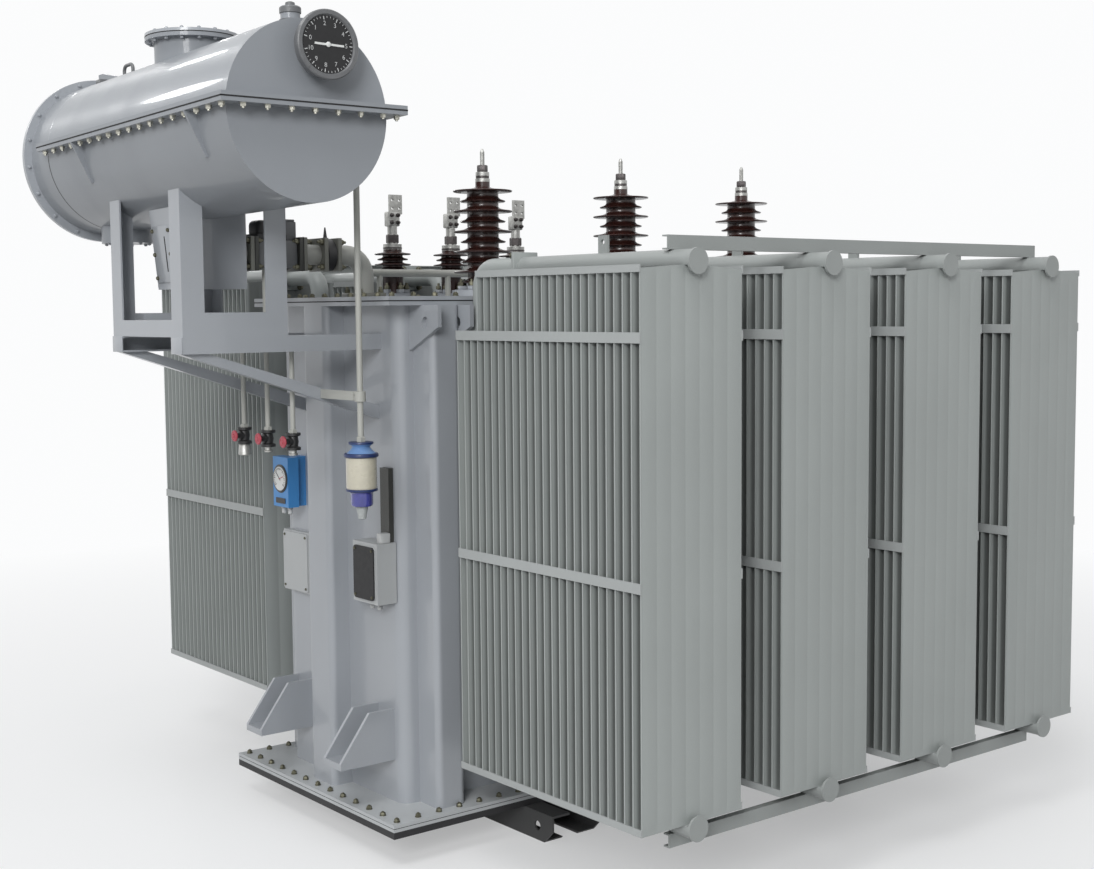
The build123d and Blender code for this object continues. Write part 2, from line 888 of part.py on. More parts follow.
with BuildPart() as manhole_cover:
    with Locations((conservator_x, manhole_y, manhole_top_z)):
        Cylinder(manhole_flange_radius, manhole_cover_thickness, align=TOP)
finish(manhole_cover, "manhole_cover", -conservator_fall)

with BuildPart() as conservator_end:
    with BuildSketch(along(conservator_x, conservator_end_y, conservator_z)):
        Circle(end_flange_radius)
    extrude(amount=-end_flange_thickness)
finish(conservator_end, "conservator_end", -conservator_fall)

# Oil level gauge: a round case on a stub, with a sunk dial
gauge_back_y = conservator_near_y - gauge_stub_length
gauge_place_x = conservator_x + gauge_x
with BuildPart() as level_gauge:
    with BuildSketch(along(gauge_place_x, conservator_near_y, gauge_z)):
        Circle(gauge_stub_radius)
    extrude(amount=gauge_stub_length)
    with BuildSketch(along(gauge_place_x, gauge_back_y, gauge_z)):
        Circle(gauge_radius)
    extrude(amount=gauge_depth)
    with BuildSketch(along(gauge_place_x, gauge_back_y - gauge_depth, gauge_z)):
        Circle(gauge_radius - gauge_bezel)
    extrude(amount=-gauge_recess, mode=Mode.SUBTRACT)
finish(level_gauge, "level_gauge", -conservator_fall)

# The drum's outside as it leans, for cutting what stands against it
with BuildPart() as drum_body:
    with BuildSketch(along(conservator_x, conservator_end_y, conservator_z)):
        Circle(conservator_radius)
    extrude(amount=2 * conservator_half_length)
drum_space = drum_body.part.rotate(lean_axis, -conservator_fall)

# Support frame: angle posts under the drum, beams between them, arms and struts to the tank
post_outer_x = conservator_x - post_outer_offset
post_inner_x = conservator_x + post_inner_offset
with BuildPart() as cradle_posts:
    for side in SIDES.values():
        for x, toward in ((post_outer_x, -1), (post_inner_x, 1)):
            with BuildSketch(Plane((x, conservator_y + side * frame_y, cradle_bottom_z))):
                Rectangle(post_width, post_depth)
                with Locations((-toward * post_plate, -side * post_plate)):
                    Rectangle(post_width, post_depth, mode=Mode.SUBTRACT)
            extrude(amount=conservator_z - cradle_bottom_z)
    add(drum_space, mode=Mode.SUBTRACT)
finish(cradle_posts, "cradle_posts")

with BuildPart() as cradle_beams:
    start_x = post_outer_x + post_width / 2
    end_x = post_inner_x - post_width / 2
    for side in SIDES.values():
        with Locations(((start_x + end_x) / 2, conservator_y + side * frame_y, cradle_bottom_z)):
            Box(end_x - start_x, post_depth, cradle_beam_height, align=BOTTOM)
    for x in (post_outer_x, post_inner_x):
        with Locations((x, conservator_y, cradle_bottom_z)):
            Box(post_width, 2 * frame_y - post_depth, end_beam_height, align=BOTTOM)
finish(cradle_beams, "cradle_beams")

arm_start_x = post_outer_x - post_width / 2
arm_bottom_z = cradle_bottom_z - arm_height
with BuildPart() as support_arms:
    for side in SIDES.values():
        arm_y = conservator_y + side * frame_y
        with BuildSketch(across(arm_start_x, arm_y, arm_bottom_z + arm_height / 2)):
            Rectangle(arm_width, arm_height)
            with Locations((-side * arm_plate, 0)):
                Rectangle(arm_width, arm_height - 2 * arm_plate, mode=Mode.SUBTRACT)
        extrude(amount=front_x - arm_start_x)
finish(support_arms, "support_arms")

strut_foot_z = cradle_bottom_z - strut_foot_drop
with BuildPart() as support_struts:
    for side in SIDES.values():
        with BuildSketch(along(0, conservator_y + side * frame_y + strut_width / 2, 0)):
            Polygon(
                (arm_start_x, arm_bottom_z),
                (arm_start_x + 2 * strut_height, arm_bottom_z),
                (front_x, strut_foot_z + strut_height),
                (front_x, strut_foot_z),
                align=None,
            )
        extrude(amount=strut_width)
finish(support_struts, "support_struts")

# Sump box under the drum, with a sloped outer face
sump_box_bottom_z = cover_top_z + sump_box_rise
with BuildPart() as oil_sump:
    with BuildSketch(along(conservator_x, sump_box_y + sump_box_depth / 2, 0)):
        Polygon(
            (-sump_box_left_bottom, sump_box_bottom_z),
            (sump_box_right, sump_box_bottom_z),
            (sump_box_right, conservator_z),
            (-sump_box_left_top, conservator_z),
            align=None,
        )
    extrude(amount=sump_box_depth)
    add(drum_space, mode=Mode.SUBTRACT)
finish(oil_sump, "oil_sump")

# Oil pipe from the sump box through the gas relay and a flat valve, and down to the cover
sump_face_x = conservator_x + sump_box_right
relay_x = sump_face_x + relay_start
relay_end_x = relay_x + relay_length
landing_x = front_x + oil_pipe_landing
valve_end_x = landing_x - oil_elbow_cut - oil_elbow_run
neck_end_x = valve_end_x - oil_valve_length


def oil_disc(x, radius, length):
    """A round section of the oil pipe, from the given place toward the tank."""
    with BuildPart() as disc:
        with BuildSketch(across(x, sump_box_y, oil_pipe_z)):
            Circle(radius)
        extrude(amount=length)
    return disc.part


def oil_plate(x):
    """A square flange of the oil pipe, from the given place toward the tank."""
    with BuildPart() as plate:
        with BuildSketch(across(x, sump_box_y, oil_pipe_z)):
            Rectangle(oil_flange_width, oil_flange_width)
        extrude(amount=oil_flange_thickness)
    return plate.part


with BuildPart() as gas_relay:
    body_x = relay_x + oil_flange_thickness
    body_length = relay_length - 2 * oil_flange_thickness
    with Locations((body_x + body_length / 2, sump_box_y, oil_pipe_z)):
        Box(body_length, 2 * relay_radius, 2 * relay_radius)
    with Locations((relay_x + relay_head_length / 2, sump_box_y, oil_pipe_z)):
        Box(relay_head_length, relay_head_width, relay_head_rise, align=BOTTOM)
    chamfer(gas_relay.faces().sort_by(Axis.Z)[-1].edges(), relay_head_chamfer)
    with Locations((relay_end_x - relay_box_length / 2, sump_box_y, oil_pipe_z)):
        Box(relay_box_length, relay_box_width, relay_box_rise, align=BOTTOM)
    for x in (relay_x, relay_end_x - oil_flange_thickness):
        add(oil_plate(x))
finish(gas_relay, "gas_relay")

with BuildPart() as oil_valve:
    add(oil_disc(neck_end_x, oil_valve_radius, oil_valve_length))
    with Locations((neck_end_x + oil_valve_length / 2, sump_box_y, oil_pipe_z)):
        Box(oil_lever_thickness, oil_lever_width, oil_lever_rise, align=BOTTOM)
finish(oil_valve, "oil_valve")

with BuildPart() as relay_pipe:
    add(oil_disc(sump_face_x, oil_pipe_radius, relay_start))
    add(oil_plate(relay_x - oil_flange_thickness))
    add(oil_disc(relay_end_x, oil_pipe_radius, neck_end_x - relay_end_x))
    for x in (relay_end_x, neck_end_x - oil_flange_thickness, valve_end_x):
        add(oil_plate(x))
    with BuildLine(along(0, sump_box_y, 0)):
        Polyline(
            (valve_end_x, oil_pipe_z),
            (landing_x - oil_elbow_cut, oil_pipe_z),
            (landing_x, oil_pipe_z - oil_elbow_cut),
            (landing_x, cover_top_z),
        )
    with BuildSketch(across(valve_end_x, sump_box_y, oil_pipe_z)):
        Circle(oil_pipe_radius)
    sweep(transition=Transition.RIGHT)
    with Locations((landing_x, sump_box_y, cover_top_z)):
        Box(oil_flange_width, oil_flange_width, oil_flange_thickness, align=BOTTOM)
finish(relay_pipe, "relay_pipe")

# Breather: a drying canister on a thin pipe that climbs beside the drum
breather_x = front_x - breather_x_gap
breather_arm_z = cradle_bottom_z - breather_arm_drop
with BuildPart() as breather_pipe:
    pipe_top_z = conservator_z - breather_pipe_drop
    with BuildLine(along(0, breather_y, 0)):
        Polyline(
            (breather_x, breather_top_z),
            (breather_x, pipe_top_z),
            (conservator_x + conservator_radius - conservator_plate, pipe_top_z),
        )
    with BuildSketch(Plane((breather_x, breather_y, breather_top_z))):
        Circle(breather_pipe_radius)
    sweep(transition=Transition.RIGHT)
    add(drum_space, mode=Mode.SUBTRACT)
    with Locations((breather_x, breather_y, breather_arm_z)):
        Cylinder(breather_clamp_radius, breather_clamp_height)
    arm_end_y = conservator_y - frame_y - strut_width / 2
    with Locations((breather_x, (breather_y + arm_end_y) / 2, breather_arm_z)):
        Box(breather_arm_thickness, arm_end_y - breather_y, breather_arm_height)
finish(breather_pipe, "breather_pipe")

breather_steps = (
    (breather_lid_radius, breather_lid_radius, breather_rim_height),
    (breather_cone_radius, breather_glass_radius, breather_cone_height),
    (breather_cap_radius, breather_cap_radius, breather_rim_height),
    (breather_glass_radius, breather_glass_radius, breather_glass_height),
    (breather_cup_radius, breather_cup_radius, breather_cup_height),
    (breather_tip_radius, breather_tip_end_radius, breather_tip_height),
)
with BuildPart() as breather:
    z = breather_top_z
    outline = [(0, z)]
    for upper_radius, lower_radius, height in breather_steps:
        outline += [(upper_radius, z), (lower_radius, z - height)]
        z -= height
    with BuildSketch(along(breather_x, breather_y, 0)):
        Polygon(*outline, (0, z), align=None)
    revolve(axis=Axis((breather_x, breather_y, 0), (0, 0, 1)))
finish(breather, "breather")

# Boxes and instruments on the front wall
terminal_box_y = terminal_box_inset - side_y
thermometer_y = side_y - thermometer_inset
side_box_y = side_y - side_box_inset
with BuildPart() as terminal_box:
    with Locations((front_x - terminal_box_depth / 2, terminal_box_y, terminal_box_z)):
        Box(terminal_box_depth, terminal_box_width, terminal_box_height, align=BOTTOM)
    lid_z = terminal_box_z + terminal_box_height / 2
    with BuildSketch(across(front_x - terminal_box_depth, terminal_box_y, lid_z)):
        RectangleRounded(
            terminal_box_width - 2 * terminal_lid_margin,
            terminal_box_height - 2 * terminal_lid_margin,
            terminal_lid_corner,
        )
    extrude(amount=-terminal_lid_thickness)
finish(terminal_box, "terminal_box")

with BuildPart() as cable_tray:
    tray_z = terminal_box_z + terminal_box_height
    with Locations((front_x - tray_depth / 2, terminal_box_y + tray_shift, tray_z)):
        Box(tray_depth, tray_width, tray_height, align=BOTTOM)
finish(cable_tray, "cable_tray")

with BuildPart() as thermometer:
    case_x = front_x - thermometer_stand_off - thermometer_depth / 2
    with Locations((case_x, thermometer_y, thermometer_z)):
        Box(thermometer_depth, thermometer_width, thermometer_height, align=BOTTOM)
    with Locations((front_x - thermometer_stand_off / 2, thermometer_y, thermometer_z)):
        Box(thermometer_stand_off, thermometer_bracket_width, thermometer_height, align=BOTTOM)
    dial_z = thermometer_z + thermometer_dial_rise
    face_x = front_x - thermometer_stand_off - thermometer_depth
    with BuildSketch(across(face_x, thermometer_y, dial_z)):
        Circle(thermometer_dial_radius)
    extrude(amount=thermometer_dial_recess, mode=Mode.SUBTRACT)
finish(thermometer, "thermometer")

with BuildPart() as side_box:
    with Locations((front_x - side_box_depth / 2, side_box_y, side_box_z)):
        Box(side_box_depth, side_box_width, side_box_height, align=BOTTOM)
finish(side_box, "side_box")

# Sampling pipes: two from the tank wall along the arms, one down from the relay
sample_x = post_inner_x + post_width / 2 + sample_post_gap + sample_pipe_radius
sample_side_y = frame_y - arm_width / 2 - sample_arm_gap - sample_pipe_radius
sample_run_z = cradle_bottom_z - arm_height / 2
with BuildPart() as sample_pipes:
    for side in SIDES.values():
        with BuildLine(along(0, conservator_y + side * sample_side_y, 0)):
            Polyline((sample_x, sample_valve_z), (sample_x, sample_run_z), (front_x, sample_run_z))
        with BuildSketch(Plane((sample_x, conservator_y + side * sample_side_y, sample_valve_z))):
            Circle(sample_pipe_radius)
        sweep(transition=Transition.RIGHT)
    with BuildSketch(Plane((sample_x, sump_box_y, sample_valve_z))):
        Circle(sample_pipe_radius)
    extrude(amount=oil_pipe_z - relay_radius - sample_valve_z)
finish(sample_pipes, "sample_pipes")

with BuildPart() as sample_valves:
    for y in (conservator_y - sample_side_y, sump_box_y, conservator_y + sample_side_y):
        with Locations((sample_x, y, sample_valve_z)):
            Cylinder(sample_valve_radius, sample_valve_height, align=TOP)
        stem_z = sample_valve_z - sample_valve_height / 2
        with BuildSketch(across(sample_x, y, stem_z)):
            Circle(sample_stem_radius)
        extrude(amount=-sample_stem_length)
        with BuildSketch(across(sample_x - sample_stem_length, y, stem_z)):
            Circle(sample_wheel_radius)
        extrude(amount=-sample_wheel_thickness)
finish(sample_valves, "sample_valves")

# Vent pipe along the middle of the cover, on short posts
vent_pipe_half = tank_half - vent_pipe_inset
vent_post_half = vent_pipe_half - vent_post_inset
vent_post_pitch = 2 * vent_post_half / (vent_post_count - 1)
with BuildPart() as vent_pipe:
    with BuildSketch(across(tank_x - vent_pipe_half, vent_pipe_y, vent_pipe_z)):
        Circle(vent_pipe_radius)
    extrude(amount=2 * vent_pipe_half)
    for i in range(vent_post_count):
        post_x = tank_x - vent_post_half + i * vent_post_pitch
        with Locations((post_x, vent_pipe_y, cover_top_z)):
            Cylinder(vent_post_radius, vent_pipe_z - cover_top_z, align=BOTTOM)
finish(vent_pipe, "vent_pipe")
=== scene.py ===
# %% [markdown]
# # Dressing a power transformer
#
# The solids of this machine come from a CAD model: tank, radiators, bushings and the drum above the
# end wall. Blender never moves them. This lesson gives them their finishes and adds what a CAD model
# leaves out: pressed flutes, glazed porcelain, smooth pipe bends, bolts, gaskets and dials.

import math

import bmesh
import bpy
import numpy as np
from mathutils import Matrix, Vector


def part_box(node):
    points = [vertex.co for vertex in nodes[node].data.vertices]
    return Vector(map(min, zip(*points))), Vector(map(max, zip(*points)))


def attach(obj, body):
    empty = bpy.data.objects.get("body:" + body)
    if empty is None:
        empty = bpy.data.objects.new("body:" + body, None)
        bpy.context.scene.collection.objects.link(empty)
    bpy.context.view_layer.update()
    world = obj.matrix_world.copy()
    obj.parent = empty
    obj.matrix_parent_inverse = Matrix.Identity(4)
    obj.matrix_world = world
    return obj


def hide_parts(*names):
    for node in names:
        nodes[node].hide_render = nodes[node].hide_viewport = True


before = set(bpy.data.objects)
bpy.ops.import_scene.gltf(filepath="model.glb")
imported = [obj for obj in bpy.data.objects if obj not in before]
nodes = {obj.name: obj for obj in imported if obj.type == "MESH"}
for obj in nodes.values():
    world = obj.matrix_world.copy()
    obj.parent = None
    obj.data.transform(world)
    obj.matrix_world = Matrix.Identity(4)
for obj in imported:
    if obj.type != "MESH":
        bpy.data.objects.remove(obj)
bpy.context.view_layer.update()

# %% [markdown]
# ## The camera
#
# The photograph's straight edges fix where the camera stood, how it was turned and how long its lens
# was. The turn is written as three angles: round the upright axis, up or down, and a slight tilt.
# A camera looks along its own -Z, so the matrix is built from its right, up and backward directions.

# %% Place the camera
camera_place = Vector((-4.7215, -6.2306, 2.4128))
heading, lift, tilt = 0.6683, -0.0818, -0.0086
focal_pixels, image_width, sensor_width = 1544.55, 1094, 36.0

flat = math.cos(lift)
forward = Vector((math.sin(heading) * flat, math.cos(heading) * flat, math.sin(lift)))
level_right = Vector((math.cos(heading), -math.sin(heading), 0))
level_up = level_right.cross(forward)
right = level_right * math.cos(tilt) + level_up * math.sin(tilt)
up = level_up * math.cos(tilt) - level_right * math.sin(tilt)
turned = Matrix((right, up, -forward)).transposed().to_4x4()

camera = bpy.data.objects.new("camera", bpy.data.cameras.new("camera"))
camera.data.sensor_fit = "HORIZONTAL"
camera.data.sensor_width = sensor_width
camera.data.lens = focal_pixels / image_width * sensor_width
camera.matrix_world = Matrix.Translation(camera_place) @ turned
bpy.context.scene.collection.objects.link(camera)
bpy.context.scene.camera = camera
bpy.context.scene.view_settings.view_transform = "Standard"
print("lens:", round(camera.data.lens, 2), "mm")

# %% [markdown]
# ## Shader maths as Python
#
# A finish is a small sum: so much dust where the surface faces up, so many streaks where it runs
# down. Written with nodes by hand such sums are hard to read. One small class wraps a socket, so that
# `1 - dust * 0.3` adds the Math nodes itself, and one method makes any other node.


# %% A socket that can be added and multiplied
class Wire:
    """An output socket that takes part in Python arithmetic."""

    def __init__(self, page, socket):
        self.page = page
        self.socket = socket

    def sum(self, operation, *values):
        return self.page.node("ShaderNodeMath", {"operation": operation}, dict(enumerate(values)))

    def __add__(self, other):
        return self.sum("ADD", self, other)

    def __radd__(self, other):
        return self.sum("ADD", other, self)

    def __sub__(self, other):
        return self.sum("SUBTRACT", self, other)

    def __rsub__(self, other):
        return self.sum("SUBTRACT", other, self)

    def __mul__(self, other):
        return self.sum("MULTIPLY", self, other)

    def __rmul__(self, other):
        return self.sum("MULTIPLY", other, self)

    def over(self, low, high):
        """0 below low, 1 above high, and a straight slope between."""
        ends = {"Value": self, "From Min": low, "From Max": high}
        return self.page.node("ShaderNodeMapRange", {"clamp": True}, ends)


# %% A page of nodes
class Page:
    """A sheet of nodes: any node can be added to it, and its sockets linked or set."""

    def __init__(self, tree):
        self.tree = tree

    def node(self, kind, settings=None, sockets=None, out=0):
        made = self.tree.nodes.new(kind)
        for key, value in (settings or {}).items():
            setattr(made, key, value)
        for key, value in (sockets or {}).items():
            self.feed(made.inputs[key], value)
        return Wire(self, made.outputs[out])

    def feed(self, socket, value):
        if isinstance(value, Wire):
            self.tree.links.new(value.socket, socket)
        else:
            socket.default_value = value

    def colour_mix(self, amount, first, second):
        """Two colours mixed. The Mix node keeps its colour sockets at 6 and 7, and the result at 2."""
        ends = [v if isinstance(v, Wire) else (*v, 1) for v in (first, second)]
        sockets = {0: amount, 6: ends[0], 7: ends[1]}
        return self.node("ShaderNodeMix", {"data_type": "RGBA"}, sockets, out=2)

    def seen(self):
        """1 where the camera looks at something directly, in a gloss or through glass."""
        kinds = ("Is Camera Ray", "Is Glossy Ray", "Is Transmission Ray")
        camera_ray, gloss_ray, glass_ray = [self.node("ShaderNodeLightPath", out=k) for k in kinds]
        return (camera_ray + gloss_ray + glass_ray).over(0, 1)


# %% A page for one finish
class Finish(Page):
    """A material with its shader, and the patterns that the finishes share."""

    def __init__(self, name, colour, roughness, **constants):
        self.material = bpy.data.materials.new(name)
        self.material.use_nodes = True
        self.material.diffuse_color = (*colour, 1)
        super().__init__(self.material.node_tree)
        self.shader = self.tree.nodes["Principled BSDF"]
        self.set(**{"Base Color": (*colour, 1), "Roughness": roughness}, **constants)

    def set(self, **values):
        for key, value in values.items():
            self.feed(self.shader.inputs[key], value)

    def place(self, stretch=(1, 1, 1)):
        """The surface point in metres, stretched so that a pattern can run along one axis."""
        spot = self.node("ShaderNodeTexCoord", out="Object")
        return self.node("ShaderNodeVectorMath", {"operation": "MULTIPLY"}, {0: spot, 1: stretch})

    def noise(self, scale, detail=3.0, stretch=(1, 1, 1)):
        sockets = {"Vector": self.place(stretch), "Scale": scale, "Detail": detail}
        return self.node("ShaderNodeTexNoise", {}, sockets)

    def facing_up(self):
        normal = self.node("ShaderNodeNewGeometry", out="Normal")
        return self.node("ShaderNodeSeparateXYZ", {}, {0: normal}, out="Z").over(0.35, 0.95)

    def bump(self, relief, distance):
        self.set(Normal=self.node("ShaderNodeBump", {}, {"Height": relief, "Distance": distance}))


print("shader helpers:", Wire.__name__, Page.__name__, Finish.__name__)

# %% [markdown]
# ## Light and floor
#
# A machine this size stands in a hall under wide, soft light. Lamps near it would light the drum far
# more than the tank below, so two broad lamps stand a long way off, one overhead and one in front on
# the camera's left, and an even world lights the rest. Three faint windows behind draw the bright
# lines along the drum's glossy top: a lying drum mirrors what is beyond its far end.
#
# The camera, and any gloss, sees the world as nearly white, while the object is lit by a dimmer one.
# In the same way the floor is pale to the eye but throws back less light, as a hall's floor does. It
# fades to the world's white away from the machine, but near it keeps the shadow.

# %% Lamps and world
lamp_aim = Vector((0.2, -0.3, 1.6))
pale = (0.97, 0.975, 0.98)
world_light = (0.43, 0.435, 0.44)


def soft_lamp(name, place, size, power):
    """A round lamp that faces the machine."""
    lamp = bpy.data.objects.new(name, bpy.data.lights.new(name, "AREA"))
    lamp.data.shape = "DISK"
    lamp.data.size = size
    lamp.data.energy = power
    lamp.location = place
    lamp.rotation_euler = (lamp_aim - Vector(place)).to_track_quat("-Z", "Y").to_euler()
    bpy.context.scene.collection.objects.link(lamp)
    return lamp


lamps = [
    soft_lamp("sky_lamp", (-7.0, -4.0, 16.0), 8.0, 880),
    soft_lamp("front_lamp", (-14.0, -12.3, 9.0), 7.0, 1950),
    soft_lamp("window_low", (2.7, 10.6, 6.7), 0.8, 26),
    soft_lamp("window_high", (-0.9, 10.6, 8.9), 0.7, 30),
    soft_lamp("window_left", (-5.5, 10.6, 7.5), 0.9, 80),
]
hall = bpy.data.worlds.new("pale_hall")
bpy.context.scene.world = hall
hall.use_nodes = True
hall_page = Page(hall.node_tree)
hall_colour = hall_page.colour_mix(hall_page.seen(), world_light, pale)
hall_page.feed(hall.node_tree.nodes["Background"].inputs["Color"], hall_colour)
print("lamps:", len(lamps))

# %% The floor
floor_half = 40.0
floor_colour, floor_bounce = (0.86, 0.865, 0.87), (0.40, 0.40, 0.40)
near_fade, fade_from, fade_to = 0.40, 3.0, 9.0

floor_corners = [(x * floor_half, y * floor_half, 0) for x, y in ((-1, -1), (1, -1), (1, 1), (-1, 1))]
floor_mesh = bpy.data.meshes.new("floor")
floor_mesh.from_pydata(floor_corners, [], [(0, 1, 2, 3)])
floor = bpy.data.objects.new("floor", floor_mesh)
bpy.context.scene.collection.objects.link(floor)
print("floor:", 2 * floor_half, "m wide")

# %% The floor's finish
floor_pale = Finish("floor_pale", floor_colour, 0.60)
seen_colour = floor_pale.colour_mix(floor_pale.seen(), floor_bounce, floor_colour)
floor_pale.set(**{"Base Color": seen_colour})
measure = {"operation": "LENGTH"}
away = floor_pale.node("ShaderNodeVectorMath", measure, {0: floor_pale.place()}, out="Value")
fade = near_fade + away.over(fade_from, fade_to) * (1 - near_fade)
glow = floor_pale.node("ShaderNodeEmission", {}, {"Color": (*pale, 1)})
floor_paint = Wire(floor_pale, floor_pale.shader.outputs[0])
layers = {0: floor_pale.seen() * fade, 1: floor_paint, 2: glow}
floor_shader = floor_pale.node("ShaderNodeMixShader", {}, layers)
floor_pale.feed(floor_pale.tree.nodes["Material Output"].inputs["Surface"], floor_shader)
floor_mesh.materials.append(floor_pale.material)
print("floor finish:", floor_pale.material.name)

# %% [markdown]
# ## Paint
#
# Factory paint on a transformer is sprayed thick and half glossy. Up close it has a faint orange
# peel, its colour drifts a little from plate to plate, thin dull streaks run down the walls, and dust
# settles on whatever faces up. Each of these is one term in the sum, so one function makes every
# painted finish on the machine and only the colours and amounts differ.
#
# Between the radiator panels, where little light reaches the narrow gaps, the paint is darkened as
# painted shade. A piece's Generated coordinates run from 0 to 1 through its box, so they tell a
# stack's inside from its outer faces and from the panels' edges, which stay pale.


# %% Painted shade between the radiator panels
def within(share, start, full):
    """0 near both ends of a span that runs from 0 to 1, and 1 in its middle."""
    return share.over(start, full) * (1 - share.over(1 - full, 1 - start))


# The mask of the painted shade: full deep between panels, none on outer faces and edges.
def between_panels(finish):
    """1 where a radiator panel faces its neighbour, 0 on its outer face and along its own edge."""
    spot = finish.node("ShaderNodeTexCoord", out="Generated")
    across = finish.node("ShaderNodeSeparateXYZ", {}, {0: spot}, out="X")
    along = finish.node("ShaderNodeSeparateXYZ", {}, {0: spot}, out="Y")
    return within(along, 0.010, 0.014) * within(across, 0.020, 0.050)


# %% One function for all paint
dust_colour = (0.46, 0.45, 0.42)
# Near black, for the painted shade deep between radiator panels.
painted_shade_colour = (0.020, 0.021, 0.020)
coat_roughness = 0.05


# The last argument sets how dark the painted shade between radiator panels gets.
def painted(
    name, colour, roughness, drift=0.06, streak=0.10, dust=0.07, peel=0.0003,
    coat=0.0, shine=0.5, panel_shade=0.0,
):
    gloss = {"Coat Weight": coat, "Coat Roughness": coat_roughness, "Specular IOR Level": shine}
    finish = Finish(name, colour, roughness, **gloss)
    darker = tuple(v * (1 - drift) for v in colour)
    dull = tuple(v * 0.80 for v in colour)
    plates = finish.noise(1.7, 2.0).over(0.35, 0.70)
    runs = finish.noise(5.0, 2.0, stretch=(1.0, 1.0, 0.07)).over(0.45, 0.85)
    specks = finish.noise(8.0, 3.0).over(0.20, 0.80)
    settled = finish.facing_up() * specks * dust
    base = finish.colour_mix(plates, colour, darker)
    run_base = finish.colour_mix(runs * streak, base, dull)
    # Painted shade: deep between radiator panels the paint turns toward near black, where light hardly
    # reaches.
    if panel_shade:
        run_base = finish.colour_mix(between_panels(finish) * panel_shade, run_base, painted_shade_colour)
    worn = roughness + runs * 0.10 + settled * 0.45 + specks * 0.05
    dusty = finish.colour_mix(settled, run_base, dust_colour)
    finish.set(**{"Base Color": dusty, "Roughness": worn})
    finish.bump(finish.noise(230.0, 2.0), peel)
    return finish.material


# %% The machine's paints
earlier_materials = len(bpy.data.materials)
tank_grey = painted("tank_grey", (0.350, 0.370, 0.398), 0.28, coat=0.45)
radiator_grey = painted("radiator_grey", (0.345, 0.370, 0.362), 0.40, streak=0.18)
# The panels' paint carries painted shade in the gaps between them.
panel_grey = painted("panel_grey", (0.350, 0.376, 0.368), 0.40, streak=0.18, panel_shade=0.55)
# A lighter copy of the tank's grey for the base flange: painted light on its upward-facing top.
flange_lit_grey = painted("flange_lit_grey", (0.480, 0.500, 0.512), 0.32)
drum_grey = painted("drum_grey", (0.285, 0.303, 0.327), 0.30, coat=0.24, shine=0.15)
header_grey = painted("header_grey", (0.310, 0.330, 0.324), 0.36)
strap_pale = painted("strap_pale", (0.372, 0.392, 0.390), 0.38)
skid_grey = painted("skid_grey", (0.062, 0.063, 0.064), 0.55, drift=0.3, streak=0.3)
base_black = painted("base_black", (0.022, 0.022, 0.024), 0.55, drift=0.3, streak=0.3, dust=0.10)
box_pale = painted("box_pale", (0.440, 0.455, 0.460), 0.35)
casting_olive = painted("casting_olive", (0.050, 0.051, 0.046), 0.40, peel=0.001)
casting_grey = painted("casting_grey", (0.135, 0.140, 0.146), 0.38, peel=0.001)
valve_black = painted("valve_black", (0.016, 0.016, 0.017), 0.36, dust=0.08, peel=0.001)
wheel_red = painted("wheel_red", (0.420, 0.060, 0.085), 0.36)
flange_olive = painted("flange_olive", (0.200, 0.202, 0.180), 0.40)
instrument_blue = painted("instrument_blue", (0.060, 0.245, 0.560), 0.32)
deep_blue = painted("deep_blue", (0.014, 0.030, 0.110), 0.30, dust=0.05)
cap_blue = painted("cap_blue", (0.140, 0.270, 0.520), 0.30)
cream_paint = painted("cream_paint", (0.420, 0.425, 0.395), 0.36)
print("painted finishes:", len(bpy.data.materials) - earlier_materials)

# %% [markdown]
# ## Metal, glaze and plastic
#
# Porcelain is the glossiest thing on the machine: dark brown glaze, a little mottled, under a clear
# coat. The flange bolts are zinc passivated to a dull olive, and the small bolts under the drum are
# paler. Tinned terminals are greyer and rubber gaskets dull black. The dials are printed plates, and
# the drying canister is cloudy cream plastic.


# %% Functions for metal and for moulded or glazed parts
def metal(name, colour, roughness, grain=0.12):
    finish = Finish(name, colour, roughness, Metallic=1.0)
    cloud = finish.noise(60.0, 4.0).over(0.30, 0.72)
    mottled = finish.colour_mix(cloud, colour, tuple(v * 0.72 for v in colour))
    finish.set(**{"Base Color": mottled, "Roughness": roughness + cloud * grain})
    finish.bump(finish.noise(420.0, 2.0), 0.0003)
    return finish.material


def moulded(name, colour, roughness, shade=0.85, coat=0.0):
    finish = Finish(name, colour, roughness, **{"Coat Weight": coat, "Coat Roughness": 0.04})
    cloud = finish.noise(34.0, 4.0).over(0.32, 0.72)
    mottled = finish.colour_mix(cloud, colour, tuple(v * shade for v in colour))
    finish.set(**{"Base Color": mottled, "Roughness": roughness + cloud * 0.08})
    finish.bump(finish.noise(150.0, 2.0), 0.0002)
    return finish.material


# %% The other materials
brown_glaze = moulded("brown_glaze", (0.040, 0.014, 0.011), 0.26, shade=0.55, coat=0.25)
zinc_olive = metal("zinc_olive", (0.18, 0.175, 0.13), 0.50)
zinc_pale = metal("zinc_pale", (0.60, 0.59, 0.52), 0.42)
tinned = metal("tinned", (0.50, 0.50, 0.48), 0.42)
dark_steel = metal("dark_steel", (0.11, 0.10, 0.10), 0.42)
rubber = moulded("rubber", (0.012, 0.012, 0.013), 0.75)
print_black = moulded("print_black", (0.008, 0.008, 0.009), 0.55)
print_white = moulded("print_white", (0.72, 0.73, 0.72), 0.45, shade=0.94)
print_grey = moulded("print_grey", (0.52, 0.53, 0.53), 0.45, shade=0.94)
bezel_grey = moulded("bezel_grey", (0.140, 0.144, 0.150), 0.32)
canister_cream = moulded("canister_cream", (0.560, 0.530, 0.430), 0.26, shade=0.90, coat=0.5)
cup_violet = moulded("cup_violet", (0.060, 0.065, 0.330), 0.16, shade=0.70, coat=0.8)
